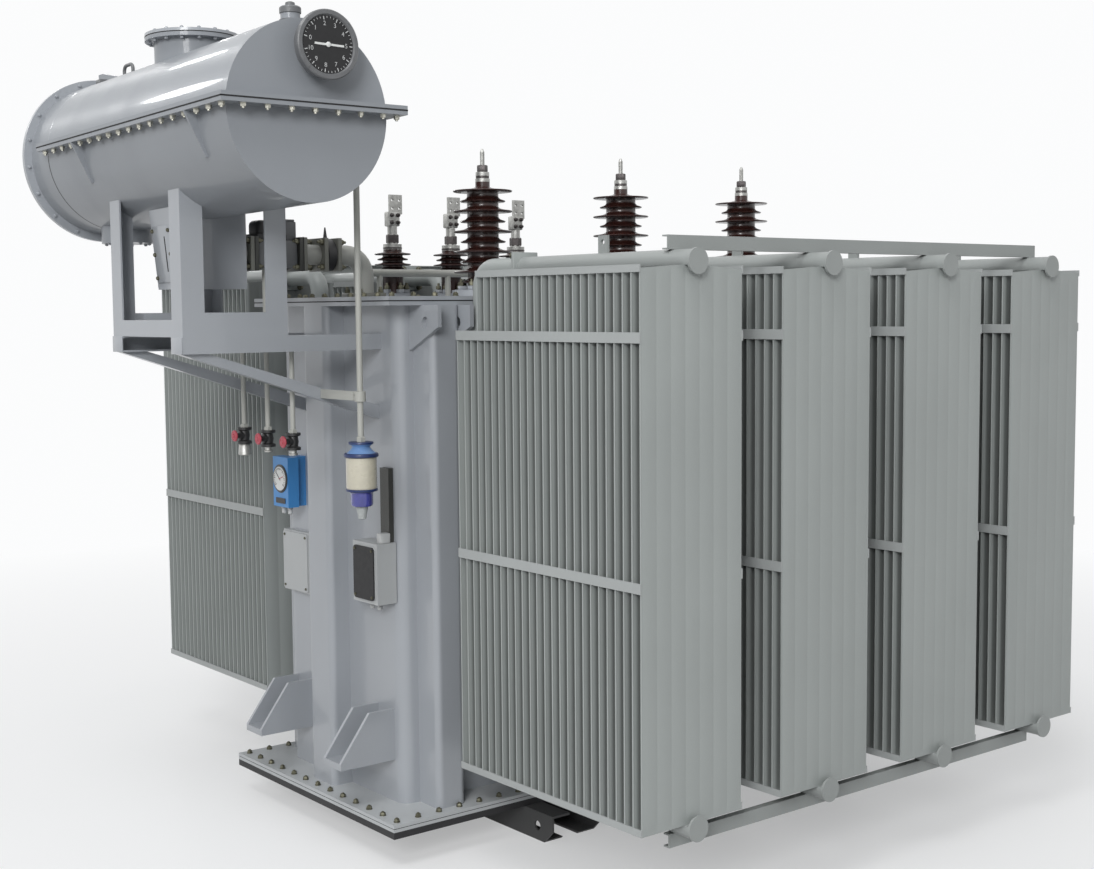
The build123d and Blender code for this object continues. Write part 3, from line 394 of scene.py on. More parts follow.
tip_pale = moulded("tip_pale", (0.420, 0.445, 0.440), 0.28)
print("all finishes:", len(bpy.data.materials) - earlier_materials)

# %% [markdown]
# ## Paint the solids
#
# Most of the solids already have the right shape and only need their paint. Every node is named for
# what it is, so a short table from finish to nodes dresses them all, and whatever isn't in the table
# takes the tank's own grey.

# %% Give each solid its finish
finish_of = {
    radiator_grey: ["radiator_top_pipes", "radiator_bottom_pipes"],
    header_grey: ["top_headers", "bottom_headers", "tie_bars"],
    strap_pale: ["radiator_straps"],
    drum_grey: ["conservator_lower", "conservator_upper"],
    # The base flange's lighter grey is painted light.
    flange_lit_grey: ["base_flange"],
    skid_grey: ["front_skids", "rear_skids"],
    base_black: ["base_plate"],
    brown_glaze: ["hv_bushings", "lv_bushings"],
    tinned: ["hv_terminals", "lv_terminals"],
    casting_olive: ["gas_relay", "oil_valve", "cable_tray"],
    valve_black: ["sample_valves"],
    instrument_blue: ["thermometer"],
    box_pale: ["terminal_box", "side_box"],
    cream_paint: ["sample_pipes", "breather_pipe", "vent_pipe", "relay_pipe"],
}
node_finish = {name: finish for finish, names in finish_of.items() for name in names}
for name, solid in nodes.items():
    solid.data.materials.clear()
    solid.data.materials.append(node_finish.get(name, tank_grey))
print("painted solids:", len(nodes), "of which tank grey:", len(nodes) - len(node_finish))

# %% [markdown]
# ## Shapes as points and faces
#
# Bolts, rings and porcelain are simple shapes repeated many times. Each helper below returns points
# and faces about the origin, standing along Z. A heap turns copies of them to where they belong and
# makes one object of all of them, which is far lighter than hundreds of objects.
#
# The drum leans by about a degree, so that its sludge runs to one end. What sits on it is placed as
# if it lay level, and the finished piece leans with it.


# %% Turned and boxed shapes
def tube_faces(rings, turns):
    """Faces that join rings of points into a tube, with a cap at each end."""
    faces = []
    for ring in range(rings - 1):
        low = ring * turns
        for i in range(turns):
            j = (i + 1) % turns
            faces.append((low + i, low + j, low + turns + j, low + turns + i))
    last = (rings - 1) * turns
    return faces + [tuple(range(turns))[::-1], tuple(range(last, last + turns))]


def lathe(profile, turns=48):
    """A solid of revolution about Z from (radius, height) pairs, closed at both ends."""
    angles = np.arange(turns) * 2 * math.pi / turns
    circle = np.column_stack((np.cos(angles), np.sin(angles)))
    rings = [np.column_stack((circle * max(r, 1e-5), np.full(turns, z))) for r, z in profile]
    return np.concatenate(rings), tube_faces(len(profile), turns)


def block(size, edge=0.0, segments=2):
    """A box about the origin, with its edges rounded by the given amount."""
    shape = bmesh.new()
    bmesh.ops.create_cube(shape, size=1)
    bmesh.ops.scale(shape, vec=size, verts=shape.verts)
    if edge:
        rounding = {"offset": edge, "segments": segments, "profile": 0.5, "affect": "EDGES"}
        bmesh.ops.bevel(shape, geom=shape.edges, **rounding)
    shape.verts.index_update()
    points = np.array([v.co for v in shape.verts])
    faces = [tuple(v.index for v in f.verts) for f in shape.faces]
    shape.free()
    return points, faces


sharp, rounded = block((1, 1, 1)), block((1, 1, 1), 0.1)
print("faces of a block, sharp and rounded:", len(sharp[1]), len(rounded[1]))


# %% Where the drum lies
def middle(node):
    """The middle of a solid's box."""
    low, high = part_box(node)
    return (low + high) / 2


drum_mid = Vector((middle("conservator_end").x, -0.035, 3.147))
drum_radius = 0.346
drum_lean = np.array(Matrix.Rotation(math.radians(-1.03), 3, "X"))
print("middle of the drum:", tuple(round(v, 3) for v in drum_mid))


# %% A heap of shapes
class Heap:
    """Gathers turned copies of shapes, to become one piece."""

    def __init__(self):
        self.points, self.faces, self.count = [], [], 0

    def add(self, shape, origin=(0, 0, 0), axis=(0, 0, 1), spin=0.0):
        points, faces = shape
        to_axis = Vector((0, 0, 1)).rotation_difference(Vector(axis)).to_matrix()
        turn = np.array(to_axis @ Matrix.Rotation(spin, 3, "Z"))
        self.points.append(points @ turn.T + np.array(origin))
        self.faces += [tuple(i + self.count for i in face) for face in faces]
        self.count += len(points)

    def shape(self):
        return np.concatenate(self.points), self.faces

    def piece(self, name, finish, slot, replaced=(), crease=40, on_drum=False):
        """One object of all the copies, in place of the solids that it replaces."""
        points = np.concatenate(self.points)
        if on_drum:
            points = (points - np.array(drum_mid)) @ drum_lean.T + np.array(drum_mid)
        mesh = bpy.data.meshes.new(name)
        mesh.from_pydata(points.tolist(), [], self.faces)
        mesh.shade_smooth()
        mesh.set_sharp_from_angle(angle=math.radians(crease))
        mesh.materials.append(finish)
        made = bpy.data.objects.new(name, mesh)
        bpy.context.scene.collection.objects.link(made)
        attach(made, "root")
        if replaced:
            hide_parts(*replaced)
        print(name, "points:", self.count)
        return made


# %% [markdown]
# ## Radiator panels
#
# A radiator panel is two pressed steel sheets welded round their rim. Oil runs down the flutes
# between the seams, so the panel is thick in the flutes and thin at the seams. A flat CAD slab misses
# that. The section across one panel is a list of (place, half thickness) pairs, and the panel is
# that section carried up through a few levels which pinch it shut at the top and bottom.

# %% One panel's section
panel_half = 0.260
flute_count = 7
rim_seam, valley_run, flute_slope = 0.004, 0.002, 0.009
seam_half, flute_half, valley_half = 0.0036, 0.0050, 0.0034

flute_width = 2 * (panel_half - rim_seam) / flute_count
section = [(-panel_half, seam_half), (-panel_half + rim_seam * 0.6, seam_half)]
for i in range(flute_count):
    start = -panel_half + rim_seam + i * flute_width
    section += [
        (start + valley_run, valley_half),
        (start + flute_slope, flute_half),
        (start + flute_width - flute_slope, flute_half),
        (start + flute_width - valley_run, valley_half),
    ]
section += [(panel_half - rim_seam * 0.6, seam_half), (panel_half, seam_half)]
section = np.array(section)
print("section points:", len(section))


# %% Carry the section up the panel
shoulder_run, shoulder_drop = 0.190, 0.014
pinch_levels = ((0.0, 0.0), (0.008, 0.0), (0.045, 1.0))


def panel_shape(bottom, top):
    """A pressed panel that stands on Z, thin at its rim and fluted between."""
    across, half = section.T
    slope = np.clip((np.abs(across) - (panel_half - shoulder_run)) / shoulder_run, 0, 1)
    crown = top - shoulder_drop * slope
    rows = [(bottom + rise + 0 * across, full) for rise, full in pinch_levels]
    rows += [(crown - rise, full) for rise, full in reversed(pinch_levels)]
    points = []
    for z, full in rows:
        bulge = seam_half + (half - seam_half) * full
        points += [np.column_stack((across, -bulge, z)), np.column_stack((across, bulge, z))]
    n = len(across)
    faces = []
    for row in range(len(rows) - 1):
        front, back = 2 * row * n, (2 * row + 1) * n
        above = 2 * n
        for i in range(n - 1):
            faces.append((front + i, front + i + 1, front + above + i + 1, front + above + i))
            faces.append((back + i + 1, back + i, back + above + i, back + above + i + 1))
        faces.append((back, front, front + above, back + above))
        faces.append((front + n - 1, back + n - 1, back + above + n - 1, front + above + n - 1))
    last = 2 * (len(rows) - 1) * n
    for i in range(n - 1):
        faces.append((i, n + i, n + i + 1, i + 1))
        faces.append((last + i, last + i + 1, last + n + i + 1, last + n + i))
    return np.concatenate(points), faces


# %% Stack the panels of all eight radiators
panel_pitch, panel_thick = 0.048, 0.010
long_panels, short_panels, short_drop = 22, 3, 0.267
radiator_names = sorted(n for n in nodes if n.startswith(("radiator_right_", "radiator_left_")))
stack_x = set()
for name in radiator_names:
    low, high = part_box(name)
    middle_x = middle(name).x
    stack_x.add(round(middle_x, 4))
    toward = -1 if low.y < 0 else 1
    face_y = low.y if toward < 0 else high.y
    long_shape = panel_shape(low.z, high.z)
    short_shape = panel_shape(low.z, high.z - short_drop)
    stack = Heap()
    for i in range(long_panels + short_panels):
        y = face_y - toward * (panel_thick / 2 + i * panel_pitch)
        stack.add(long_shape if i < long_panels else short_shape, (middle_x, y, 0))
    stack.piece(name.replace("radiator", "fluted_panels"), panel_grey, "radiator_paint", [name])

# %% [markdown]
# ## Porcelain
#
# The insulators are turned shapes: a barrel with rain sheds. A real shed has a flat underside, a
# rounded lip and a top that slopes back to the barrel in a soft hollow, and the glaze lives on those
# curves. So each insulator is turned again here from a finer profile, in the solid's own place.


# %% Turn the sheds
lip_rise = 0.0065


def shed_profile(base, barrel, radii, pitch, neck, crown_radius, top):
    """The outline of an insulator: a barrel, a shed for each radius, and a crown."""
    profile = [(0, base), (barrel, base)]
    for step, radius in enumerate(radii):
        low = base + neck + step * pitch
        foot = crown_radius if step == len(radii) - 1 else barrel
        reach = radius - foot
        profile += [
            (barrel, low - 0.004),
            (barrel + 0.003, low),
            (radius - 0.005, low - 0.001),
            (radius - 0.001, low + 0.001),
            (radius, low + 0.004),
            (radius - 0.002, low + lip_rise),
            (foot + 0.62 * reach, low + lip_rise + 0.06 * pitch),
            (foot + 0.30 * reach, low + lip_rise + 0.14 * pitch),
            (foot + 0.08 * reach, low + lip_rise + 0.26 * pitch),
            (foot, low + lip_rise + 0.36 * pitch),
        ]
    return profile + [(crown_radius, top), (0, top)]


# %% Stand the insulators in their rows
def turned_row(name, node, profile, places, finish, slot, turns=64):
    row = Heap()
    shape = lathe(profile, turns)
    for x, y in places:
        row.add(shape, (x, y, 0))
    return row.piece(name, finish, slot, [node], crease=50)


cover_low, cover_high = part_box("tank_cover")
tank_mid = middle("tank_cover").x
hv_places = [(tank_mid + x, -0.330) for x in (-0.845, 0.010, 0.865)]
lv_places = [(tank_mid + x, 0.300) for x in (-0.944, -0.592, -0.177)]
hv_low, hv_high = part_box("hv_bushings")
lv_low, lv_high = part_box("lv_bushings")
hv_sheds, lv_sheds = [0.106, 0.139] * 5, [0.090, 0.076, 0.090, 0.076, 0.090]
hv_profile = shed_profile(
    hv_low.z, barrel=0.074, radii=hv_sheds, pitch=0.047,
    neck=0.033, crown_radius=0.034, top=hv_high.z,
)
lv_profile = shed_profile(
    lv_low.z, barrel=0.050, radii=lv_sheds, pitch=0.026,
    neck=0.087, crown_radius=0.046, top=lv_high.z,
)
turned_row("hv_porcelain", "hv_bushings", hv_profile, hv_places, brown_glaze, "porcelain")
turned_row("lv_porcelain", "lv_bushings", lv_profile, lv_places, brown_glaze, "porcelain")

# %% [markdown]
# ## Bent pipes
#
# Pipes on the machine are bent or have drawn elbows, never mitred corners. A path with sharp corners
# is enough to describe one: each corner is cut back and replaced by an arc, and a ring of points is
# carried along the path. Blender's curve bevel could do the same, but here the points are needed in a
# heap with the flanges.


# %% A round tube along a path with rounded corners
def rounded_path(corners, bend, steps=8):
    corners = [Vector(c) for c in corners]
    path = [corners[0]]
    for before, corner, after in zip(corners, corners[1:], corners[2:]):
        back, ahead = (before - corner).normalized(), (after - corner).normalized()
        half_turn = back.angle(ahead) / 2
        reach = bend / math.tan(half_turn)
        centre = corner + (back + ahead).normalized() * (bend / math.sin(half_turn))
        start = (corner + back * reach - centre).normalized()
        end = (corner + ahead * reach - centre).normalized()
        path += [centre + start.slerp(end, i / steps) * bend for i in range(steps + 1)]
    return path + [corners[-1]]


def bent_tube(corners, radius, bend, turns=20):
    path = rounded_path(corners, bend)
    ways = [(b - a).normalized() for a, b in zip(path, path[1:])]
    ways = [ways[0], *[(a + b).normalized() for a, b in zip(ways, ways[1:])], ways[-1]]
    side = ways[0].orthogonal().normalized()
    rings = []
    for place, way in zip(path, ways):
        side = (side - way * side.dot(way)).normalized()
        other = way.cross(side)
        angles = [2 * math.pi * i / turns for i in range(turns)]
        rings += [place + (side * math.cos(a) + other * math.sin(a)) * radius for a in angles]
    return np.array(rings), tube_faces(len(path), turns)


# %% The radiators' top pipes
radiator_x = sorted(stack_x)
pipe_low, pipe_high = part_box("radiator_top_pipes")
pipe_radius, pipe_bend = 0.045, 0.085
flange_square, flange_thick, wall_valve = 0.130, 0.016, 0.040
wall_y, drop_y = -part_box("right_wall")[0].y, 0.710
wall_pipe_z = pipe_low.z + flange_square / 2
header_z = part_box("top_headers")[0].z + 0.050

flange_spots = (
    (pipe_high.y - flange_thick / 2, header_z),
    (wall_y + wall_valve + flange_thick / 2, wall_pipe_z),
)
pipe_corners = (
    (pipe_high.y, header_z), (drop_y, header_z), (drop_y, wall_pipe_z), (wall_y, wall_pipe_z),
)
top_pipes = Heap()
flange_plate = block((flange_square, flange_thick, flange_square), 0.003)
for x in radiator_x:
    for side in (-1, 1):
        run = [(x, side * y, z) for y, z in pipe_corners]
        top_pipes.add(bent_tube(run, pipe_radius, pipe_bend, 28))
        for y, z in flange_spots:
            top_pipes.add(flange_plate, (x, side * y, z))
top_pipes.piece("bent_top_pipes", radiator_grey, "radiator_paint", ["radiator_top_pipes"])

# %% [markdown]
# ## Bolts
#
# Hundreds of bolts hold the cover, the base flange and the drum together. One bolt is three turned
# shapes: a washer, a hexagon, which is a lathe with six turns, and the end of the thread. Rows of
# them are worked out from the solids that they clamp, so a bolt always stands on its flange.


# %% One bolt, and the places along a flange
def bolt(width, height, reach):
    """A washer, a hexagon and the end of the thread, standing on Z = 0."""
    washer = 0.10 * width
    corner, thread = width / math.sqrt(3), 0.30 * width
    hexagon = [(corner, washer), (corner, washer + 0.8 * height), (0.86 * corner, washer + height)]
    end = [(thread, washer), (thread, height + 0.85 * reach), (0.75 * thread, height + reach)]
    parts = Heap()
    parts.add(lathe([(0.66 * width, 0), (0.66 * width, washer)], 18))
    parts.add(lathe(hexagon, 6))
    parts.add(lathe(end, 10))
    return parts.shape()


def spaced(start, end, spacing):
    return np.linspace(start, end, max(2, round(abs(end - start) / spacing) + 1))


def edge_places(low, high, inset, spacing):
    """Points along the four edges of a flat rectangle, a little way in from its edge."""
    xs = spaced(low.x + inset, high.x - inset, spacing)
    ys = spaced(low.y + inset, high.y - inset, spacing)
    long_edges = [(x, y) for x in xs for y in (low.y + inset, high.y - inset)]
    return long_edges + [(x, y) for y in ys[1:-1] for x in (low.x + inset, high.x - inset)]


def ring_angles(count, start=0.0):
    return start + np.arange(count) * 2 * math.pi / count


def around(a, b, radius, count, start):
    """Points on a circle about (a, b), each with its angle."""
    for angle in ring_angles(count, start):
        yield a + radius * math.cos(angle), b + radius * math.sin(angle), angle


def four_corners(across, up):
    """Offsets from the middle of a plate to the bolts at its corners."""
    return [(a * across, b * up) for a in (-1, 1) for b in (-1, 1)]


print("points of a bolt:", len(bolt(0.022, 0.012, 0.007)[0]))


# %% Bolt the base flange and the cover
flange_bolt = bolt(0.022, 0.012, 0.007)
cover_bolt = bolt(0.022, 0.013, 0.006)
flange_inset, flange_spacing = 0.040, 0.112

base_low, base_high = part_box("base_flange")
base_bolts = Heap()
for x, y in edge_places(base_low, base_high, flange_inset, flange_spacing):
    base_bolts.add(flange_bolt, (x, y, base_high.z), spin=7 * x + 3 * y)
base_bolts.piece("base_bolts", zinc_olive, "terminal_metal")

cover_bolts = Heap()
for x, y in edge_places(cover_low, cover_high, flange_inset, flange_spacing):
    cover_bolts.add(cover_bolt, (x, y, cover_high.z), spin=5 * x + y)
cover_bolts.piece("cover_bolts", zinc_olive, "terminal_metal")

# %% Bolt the drum's parting flange
parting_z, parting_plate, parting_half = 3.168, 0.018, 0.400
parting_near, parting_far, parting_inset = -1.092, 0.745, 0.024
parting_margin, parting_spacing, end_row_half = 0.045, 0.100, 0.30
drum_bolt = bolt(0.020, 0.012, 0.008)

drum_bolts = Heap()
parting_under = parting_z - parting_plate
for y in spaced(parting_near + parting_margin, parting_far - parting_margin, parting_spacing):
    for side in (-1, 1):
        x = drum_mid.x + side * (parting_half - parting_inset)
        drum_bolts.add(drum_bolt, (x, y, parting_under), (0, 0, -1), spin=9 * y)
for x in spaced(drum_mid.x - end_row_half, drum_mid.x + end_row_half, parting_spacing):
    spot = (x, parting_near + parting_inset, parting_under)
    drum_bolts.add(drum_bolt, spot, (0, 0, -1), spin=9 * x)
drum_bolts.piece("drum_bolts", zinc_pale, "terminal_metal", on_drum=True)

# %% Bolt the drum's end ring, manhole and sump pot
ring_near, ring_far, ring_circle = 0.950, 0.974, 0.364
hatch_y, hatch_top, hatch_circle = -0.050, 3.581, 0.179
hatch_cover, hatch_flange = 0.014, 0.018
hatch_under = hatch_top - hatch_cover - hatch_flange
pot_y, pot_under, pot_circle = 0.700, 2.742, 0.098
small_bolt = bolt(0.014, 0.007, 0.003)

painted_bolts = Heap()
for x, z, _ in around(drum_mid.x, drum_mid.z, ring_circle, 18, 0.12):
    painted_bolts.add(small_bolt, (x, ring_near, z), (0, -1, 0))
    painted_bolts.add(small_bolt, (x, ring_far, z), (0, 1, 0))
for x, y, angle in around(drum_mid.x, hatch_y, hatch_circle, 16, 0.1):
    painted_bolts.add(small_bolt, (x, y, hatch_top), spin=angle)
    painted_bolts.add(small_bolt, (x, y, hatch_under), (0, 0, -1), spin=angle)
for x, y, _ in around(drum_mid.x, pot_y, pot_circle, 8, 0.2):
    painted_bolts.add(small_bolt, (x, y, pot_under), (0, 0, -1))
painted_bolts.piece("drum_painted_bolts", tank_grey, "tank_paint", on_drum=True)

# %% Clamp the bushings to the cover
clamp_bolt = bolt(0.022, 0.016, 0.016)
clamp_claw = block((0.046, 0.026, 0.020), 0.004)
clamps, clamp_nuts = Heap(), Heap()
clamp_rows = ((hv_places, "hv_flanges", 0.108, 8), (lv_places, "lv_flanges", 0.066, 6))
for places, flange, radius, count in clamp_rows:
    flange_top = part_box(flange)[1].z
    for x, y in places:
        for angle in ring_angles(count, math.pi / count):
            out = Vector((math.cos(angle), math.sin(angle), 0))
            claw = Vector((x, y, flange_top + 0.010)) + out * (radius - 0.008)
            nut = Vector((x, y, flange_top + 0.020)) + out * radius
            clamps.add(clamp_claw, claw, spin=angle)
            clamp_nuts.add(clamp_bolt, nut, spin=angle)
clamps.piece("bushing_clamps", tank_grey, "tank_paint")
clamp_nuts.piece("bushing_nuts", zinc_olive, "terminal_metal")

# %% Bolt the radiator pipes
pipe_bolt = bolt(0.024, 0.016, 0.010)
bolt_cross = 0.050
bottom_z = middle("radiator_bottom_pipes").z
valve_mid = (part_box("radiator_bottom_pipes")[1].y + wall_y) / 2
pipe_faces = (
    (pipe_high.y - flange_thick, header_z, -1),
    (wall_y + wall_valve + flange_thick, wall_pipe_z, 1),
    (valve_mid - wall_valve / 2, bottom_z, -1),
    (valve_mid + wall_valve / 2, bottom_z, 1),
)
pipe_bolts = Heap()
for x in radiator_x:
    for side in (-1, 1):
        for face_y, z, outward in pipe_faces:
            for dx, dz in four_corners(bolt_cross, bolt_cross):
                pipe_bolts.add(pipe_bolt, (x + dx, side * face_y, z + dz), (0, side * outward, 0))
pipe_bolts.piece("pipe_bolts", zinc_olive, "terminal_metal")

# %% [markdown]
# ## The oil line and its gas relay
#
# Oil runs from the sump under the drum through a gas relay and a flat valve down to the cover. The
# relay is a casting with a black hat over its floats and a grey box for its wires. The pieces are
# joined by pairs of square flanges with four bolts each, so one list of places along the line gives
# the flanges and their bolts together; the relay's two gaskets are made with the others.

# %% The oil pipe
relay_low, relay_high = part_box("gas_relay")
valve_low, valve_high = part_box("oil_valve")
line_low, line_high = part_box("relay_pipe")
line_y, line_z = middle("gas_relay").y, 2.662
line_radius, plate_width, plate_thick, elbow_bend = 0.046, 0.150, 0.020, 0.095
landing_x = line_high.x - plate_width / 2

oil_runs = (
    [(line_low.x, line_z), (relay_low.x, line_z)],
    [(relay_high.x, line_z), (valve_low.x, line_z)],
    [(valve_high.x, line_z), (landing_x, line_z), (landing_x, line_low.z)],
)
oil_pipes = Heap()
for run in oil_runs:
    oil_pipes.add(bent_tube([(x, line_y, z) for x, z in run], line_radius, elbow_bend, 32))
oil_pipes.piece("oil_pipes", cream_paint, "tank_paint", ["relay_pipe"])

# %% Its square flanges
plate = block((plate_thick, plate_width, plate_width), 0.003)
landing_plate = block((plate_width, plate_width, plate_thick), 0.003)
plate_bolt, plate_cross = bolt(0.022, 0.015, 0.014), 0.056
oil_plates, relay_plates, oil_bolts = Heap(), Heap(), Heap()
plate_faces = (
    (relay_low.x, -1, oil_plates),
    (relay_low.x, 1, relay_plates),
    (relay_high.x, -1, relay_plates),
    (relay_high.x, 1, oil_plates),
    (valve_low.x, -1, oil_plates),
    (valve_high.x, 1, oil_plates),
)
for face_x, way, plates in plate_faces:
    plates.add(plate, (face_x + way * plate_thick / 2, line_y, line_z))
    for dy, dz in four_corners(plate_cross, plate_cross):
        spot = (face_x + way * plate_thick, line_y + dy, line_z + dz)
        oil_bolts.add(plate_bolt, spot, (way, 0, 0))
oil_plates.add(landing_plate, (landing_x, line_y, line_low.z + plate_thick / 2))
for dx, dy in four_corners(plate_cross, plate_cross):
    oil_bolts.add(plate_bolt, (landing_x + dx, line_y + dy, line_low.z + plate_thick))
oil_plates.piece("oil_flanges", flange_olive, "dark_casting")
relay_plates.piece("relay_flanges", casting_olive, "dark_casting")
oil_bolts.piece("oil_pipe_bolts", zinc_olive, "terminal_metal")

# %% The relay's casting, hat and wire box
relay_width, hat_length, wire_length = 0.124, 0.150, 0.066
relay_mid = middle("gas_relay").x
relay_length = relay_high.x - relay_low.x - 2 * plate_thick
boss_profile = [(0.030, 0), (0.030, 0.010), (0.022, 0.014), (0.018, 0.024)]
relay_body = Heap()
relay_body.add(block((relay_length, relay_width, relay_width), 0.014), (relay_mid, line_y, line_z))
relay_body.add(lathe(boss_profile, 24), (relay_mid, line_y - 0.060, line_z), (0, -1, 0))
relay_body.piece("relay_body", casting_grey, "dark_casting", ["gas_relay"])

hat = Heap()
hat_x, hat_low = relay_low.x + plate_thick + hat_length / 2, line_z + relay_width / 2 - 0.004
hat.add(block((hat_length, 0.116, 0.030), 0.006), (hat_x, line_y, hat_low + 0.015))
hat.add(block((hat_length - 0.016, 0.104, 0.078), 0.024, 4), (hat_x, line_y, hat_low + 0.051))
hat.piece("relay_hat", valve_black, "dark_casting")

wire_box = Heap()
wire_x = relay_high.x - plate_thick - wire_length / 2
wire_box.add(block((wire_length, 0.090, 0.086), 0.005), (wire_x, line_y, hat_low + 0.043))
wire_box.add(block((wire_length - 0.010, 0.080, 0.010), 0.003), (wire_x, line_y, hat_low + 0.091))
wire_box.piece("relay_wire_box", casting_grey, "dark_casting")

# %% The flat valve with its lever
lever_foot, lever_rise, lever_point = 0.060, 0.125, 0.25
valve_disc = Heap()
valve_length = valve_high.x - valve_low.x
valve_x = middle("oil_valve").x
valve_profile = [(0.066, 0), (0.074, 0.004), (0.074, valve_length - 0.004), (0.066, valve_length)]
valve_disc.add(lathe(valve_profile, 40), (valve_low.x, line_y, line_z), (1, 0, 0))
lever_points, lever_faces = block((0.012, 0.026, lever_rise - lever_foot))
lever_points[lever_points[:, 2] > 0, :2] *= lever_point
lever_z = line_z + (lever_rise + lever_foot) / 2
valve_disc.add((lever_points, lever_faces), (valve_x, line_y, lever_z))
valve_disc.piece("flat_valve", valve_black, "dark_casting", ["oil_valve"])

# %% [markdown]
# ## Gaskets and seams
#
# Wherever two flanges meet, a strip of black rubber shows as a thin dark line, and it is this line
# that tells the eye that the parts are bolted and not one block. Each gasket is a narrow frame that
# stands a hair proud of the flange edges.


# %% Gasket frames
def gasket_frame(low, high, z, height, proud=0.0008, depth=0.006):
    """Four thin bars round the edge of a rectangle, just proud of it."""
    middle_x, middle_y = (low[0] + high[0]) / 2, (low[1] + high[1]) / 2
    length_x, length_y = high[0] - low[0] + 2 * proud, high[1] - low[1] + 2 * proud
    bars = Heap()
    for side in (-1, 1):
        edge_y = middle_y + side * (length_y - depth) / 2
        edge_x = middle_x + side * (length_x - depth) / 2
        bars.add(block((length_x, depth, height)), (middle_x, edge_y, z))
        bars.add(block((depth, length_y, height)), (edge_x, middle_y, z))
    return bars.shape()


base_seam, gasket_overhang = 0.0155, 0.0016
relay_gasket = block((0.0030, plate_width + gasket_overhang, plate_width + gasket_overhang))
gaskets = Heap()
gaskets.add(gasket_frame(base_low, base_high, base_low.z + base_seam, 0.0030, proud=-0.0010))
gaskets.add(gasket_frame(cover_low, cover_high, cover_low.z, 0.0050))
for x in (relay_low.x, relay_high.x):
    gaskets.add(relay_gasket, (x, line_y, line_z))
gaskets.piece("gaskets", rubber, "valve_black")

drum_gaskets = Heap()
near_corner = (drum_mid.x - parting_half, parting_near)
far_corner = (drum_mid.x + parting_half, parting_far)
drum_gaskets.add(gasket_frame(near_corner, far_corner, parting_z, 0.0060))
hatch_line, hatch_rim = hatch_top - hatch_cover, 0.1986
hatch_ring = lathe([(hatch_rim, hatch_line - 0.002), (hatch_rim, hatch_line + 0.002)], 96)
drum_gaskets.add(hatch_ring, (drum_mid.x, hatch_y, 0))
drum_gaskets.piece("drum_gaskets", rubber, "valve_black", on_drum=True)


# %% The weld seam round the drum, black on its lower half as painted shade
def drum_band(y, start, end, width=0.007, proud=0.0014, steps=60):
    """A low ridge round part of the drum, between two angles."""
    arc = np.linspace(start, end, steps)
    ridge = ((0, 0.0002), (width / 2, proud), (width, 0.0002))
    points = []
    for a in arc:
        for along, rise in ridge:
            reach = drum_radius + rise
            x, z = drum_mid.x + reach * math.cos(a), drum_mid.z + reach * math.sin(a)
            points.append((x, y + along, z))
    strips = []
    for i in range(steps - 1):
        for first in (3 * i, 3 * i + 1):
            strips.append((first, first + 1, first + 4, first + 3))
    return np.array(points), strips


# The seam is black from one side round under the drum to just above the other: painted shade on its
# lower half. The rest of the ridge keeps the drum's grey.
shade_end = 0.06
seam, ridge = Heap(), Heap()
seam.add(drum_band(parting_far, -math.pi, shade_end))
ridge.add(drum_band(parting_far, shade_end, math.pi))
seam.piece("drum_seam_shade", valve_black, "tank_paint", on_drum=True)
ridge.piece("drum_weld_ridges", tank_grey, "tank_paint", on_drum=True)

# %% [markdown]
# ## Fittings on the drum and its bracket
#
# On top of the drum stand a filler plug and a bent lifting loop with a bar to a small stop, and below
# it the sump pot has a drain cock. The sump box has a bolted plate on its sloped side, and the
# bracket's arms, which are open channels, have plates on their ends. They are small, but each breaks
# a plain outline.

# %% The filler plug
crown_z = drum_mid.z + drum_radius
plug_y = -0.900
plug_profile = [
    (0.044, -0.006), (0.044, 0.012), (0.036, 0.016), (0.036, 0.034), (0.042, 0.038),
    (0.042, 0.058), (0.034, 0.064), (0.020, 0.066), (0.018, 0.078), (0.010, 0.082),
]
plug = Heap()
plug.add(lathe(plug_profile, 32), (drum_mid.x, plug_y, crown_z))
plug.piece("filler_plug", casting_grey, "tank_paint", on_drum=True)

# %% The lifting loop
loop_x, loop_y, loop_reach, stop_y = drum_mid.x - 0.030, 0.550, 0.048, 0.860
loop_foot, loop_rise, rod_radius, rod_bend = crown_z - 0.010, crown_z + 0.050, 0.008, 0.026
near_leg, far_leg = loop_y - loop_reach, loop_y + loop_reach
loop_path = [
    (near_leg, loop_foot), (near_leg, loop_rise), (far_leg, loop_rise), (far_leg, loop_foot),
]
loop_bar = block((0.024, stop_y - loop_y, 0.010), 0.002)
loop = Heap()
loop.add(bent_tube([(loop_x, y, z) for y, z in loop_path], rod_radius, rod_bend, 14))
loop.add(block((0.040, 0.050, 0.036), 0.003), (loop_x, stop_y, crown_z + 0.008))
loop.add(loop_bar, (loop_x, (stop_y + loop_y) / 2, crown_z))
loop.piece("lifting_loop", casting_grey, "tank_paint", on_drum=True)

# %% The drain cock
cock_profile = [
    (0.018, 0), (0.018, 0.012), (0.012, 0.014), (0.012, 0.030),
    (0.016, 0.032), (0.016, 0.044), (0.008, 0.050),
]
cock = Heap()
cock.add(lathe(cock_profile, 20), (drum_mid.x, pot_y, pot_under), (0, 0, -1))
cock.piece("drain_cock", valve_black, "valve_black", on_drum=True)

# %% The sump box's bolted plate
sump_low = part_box("oil_sump")[0]
slope_run, slope_rise, slope_foot = 0.065, drum_mid.z - sump_low.z, 0.135
slope_turn = math.atan2(slope_run, slope_rise)
slope_bottom = Vector((drum_mid.x - slope_foot, middle("oil_sump").y, sump_low.z))
slope_up = Vector((-math.sin(slope_turn), 0, math.cos(slope_turn)))
slope_out = Vector((-math.cos(slope_turn), 0, -math.sin(slope_turn)))
tilted = np.array(Matrix.Rotation(-slope_turn, 3, "Y"))


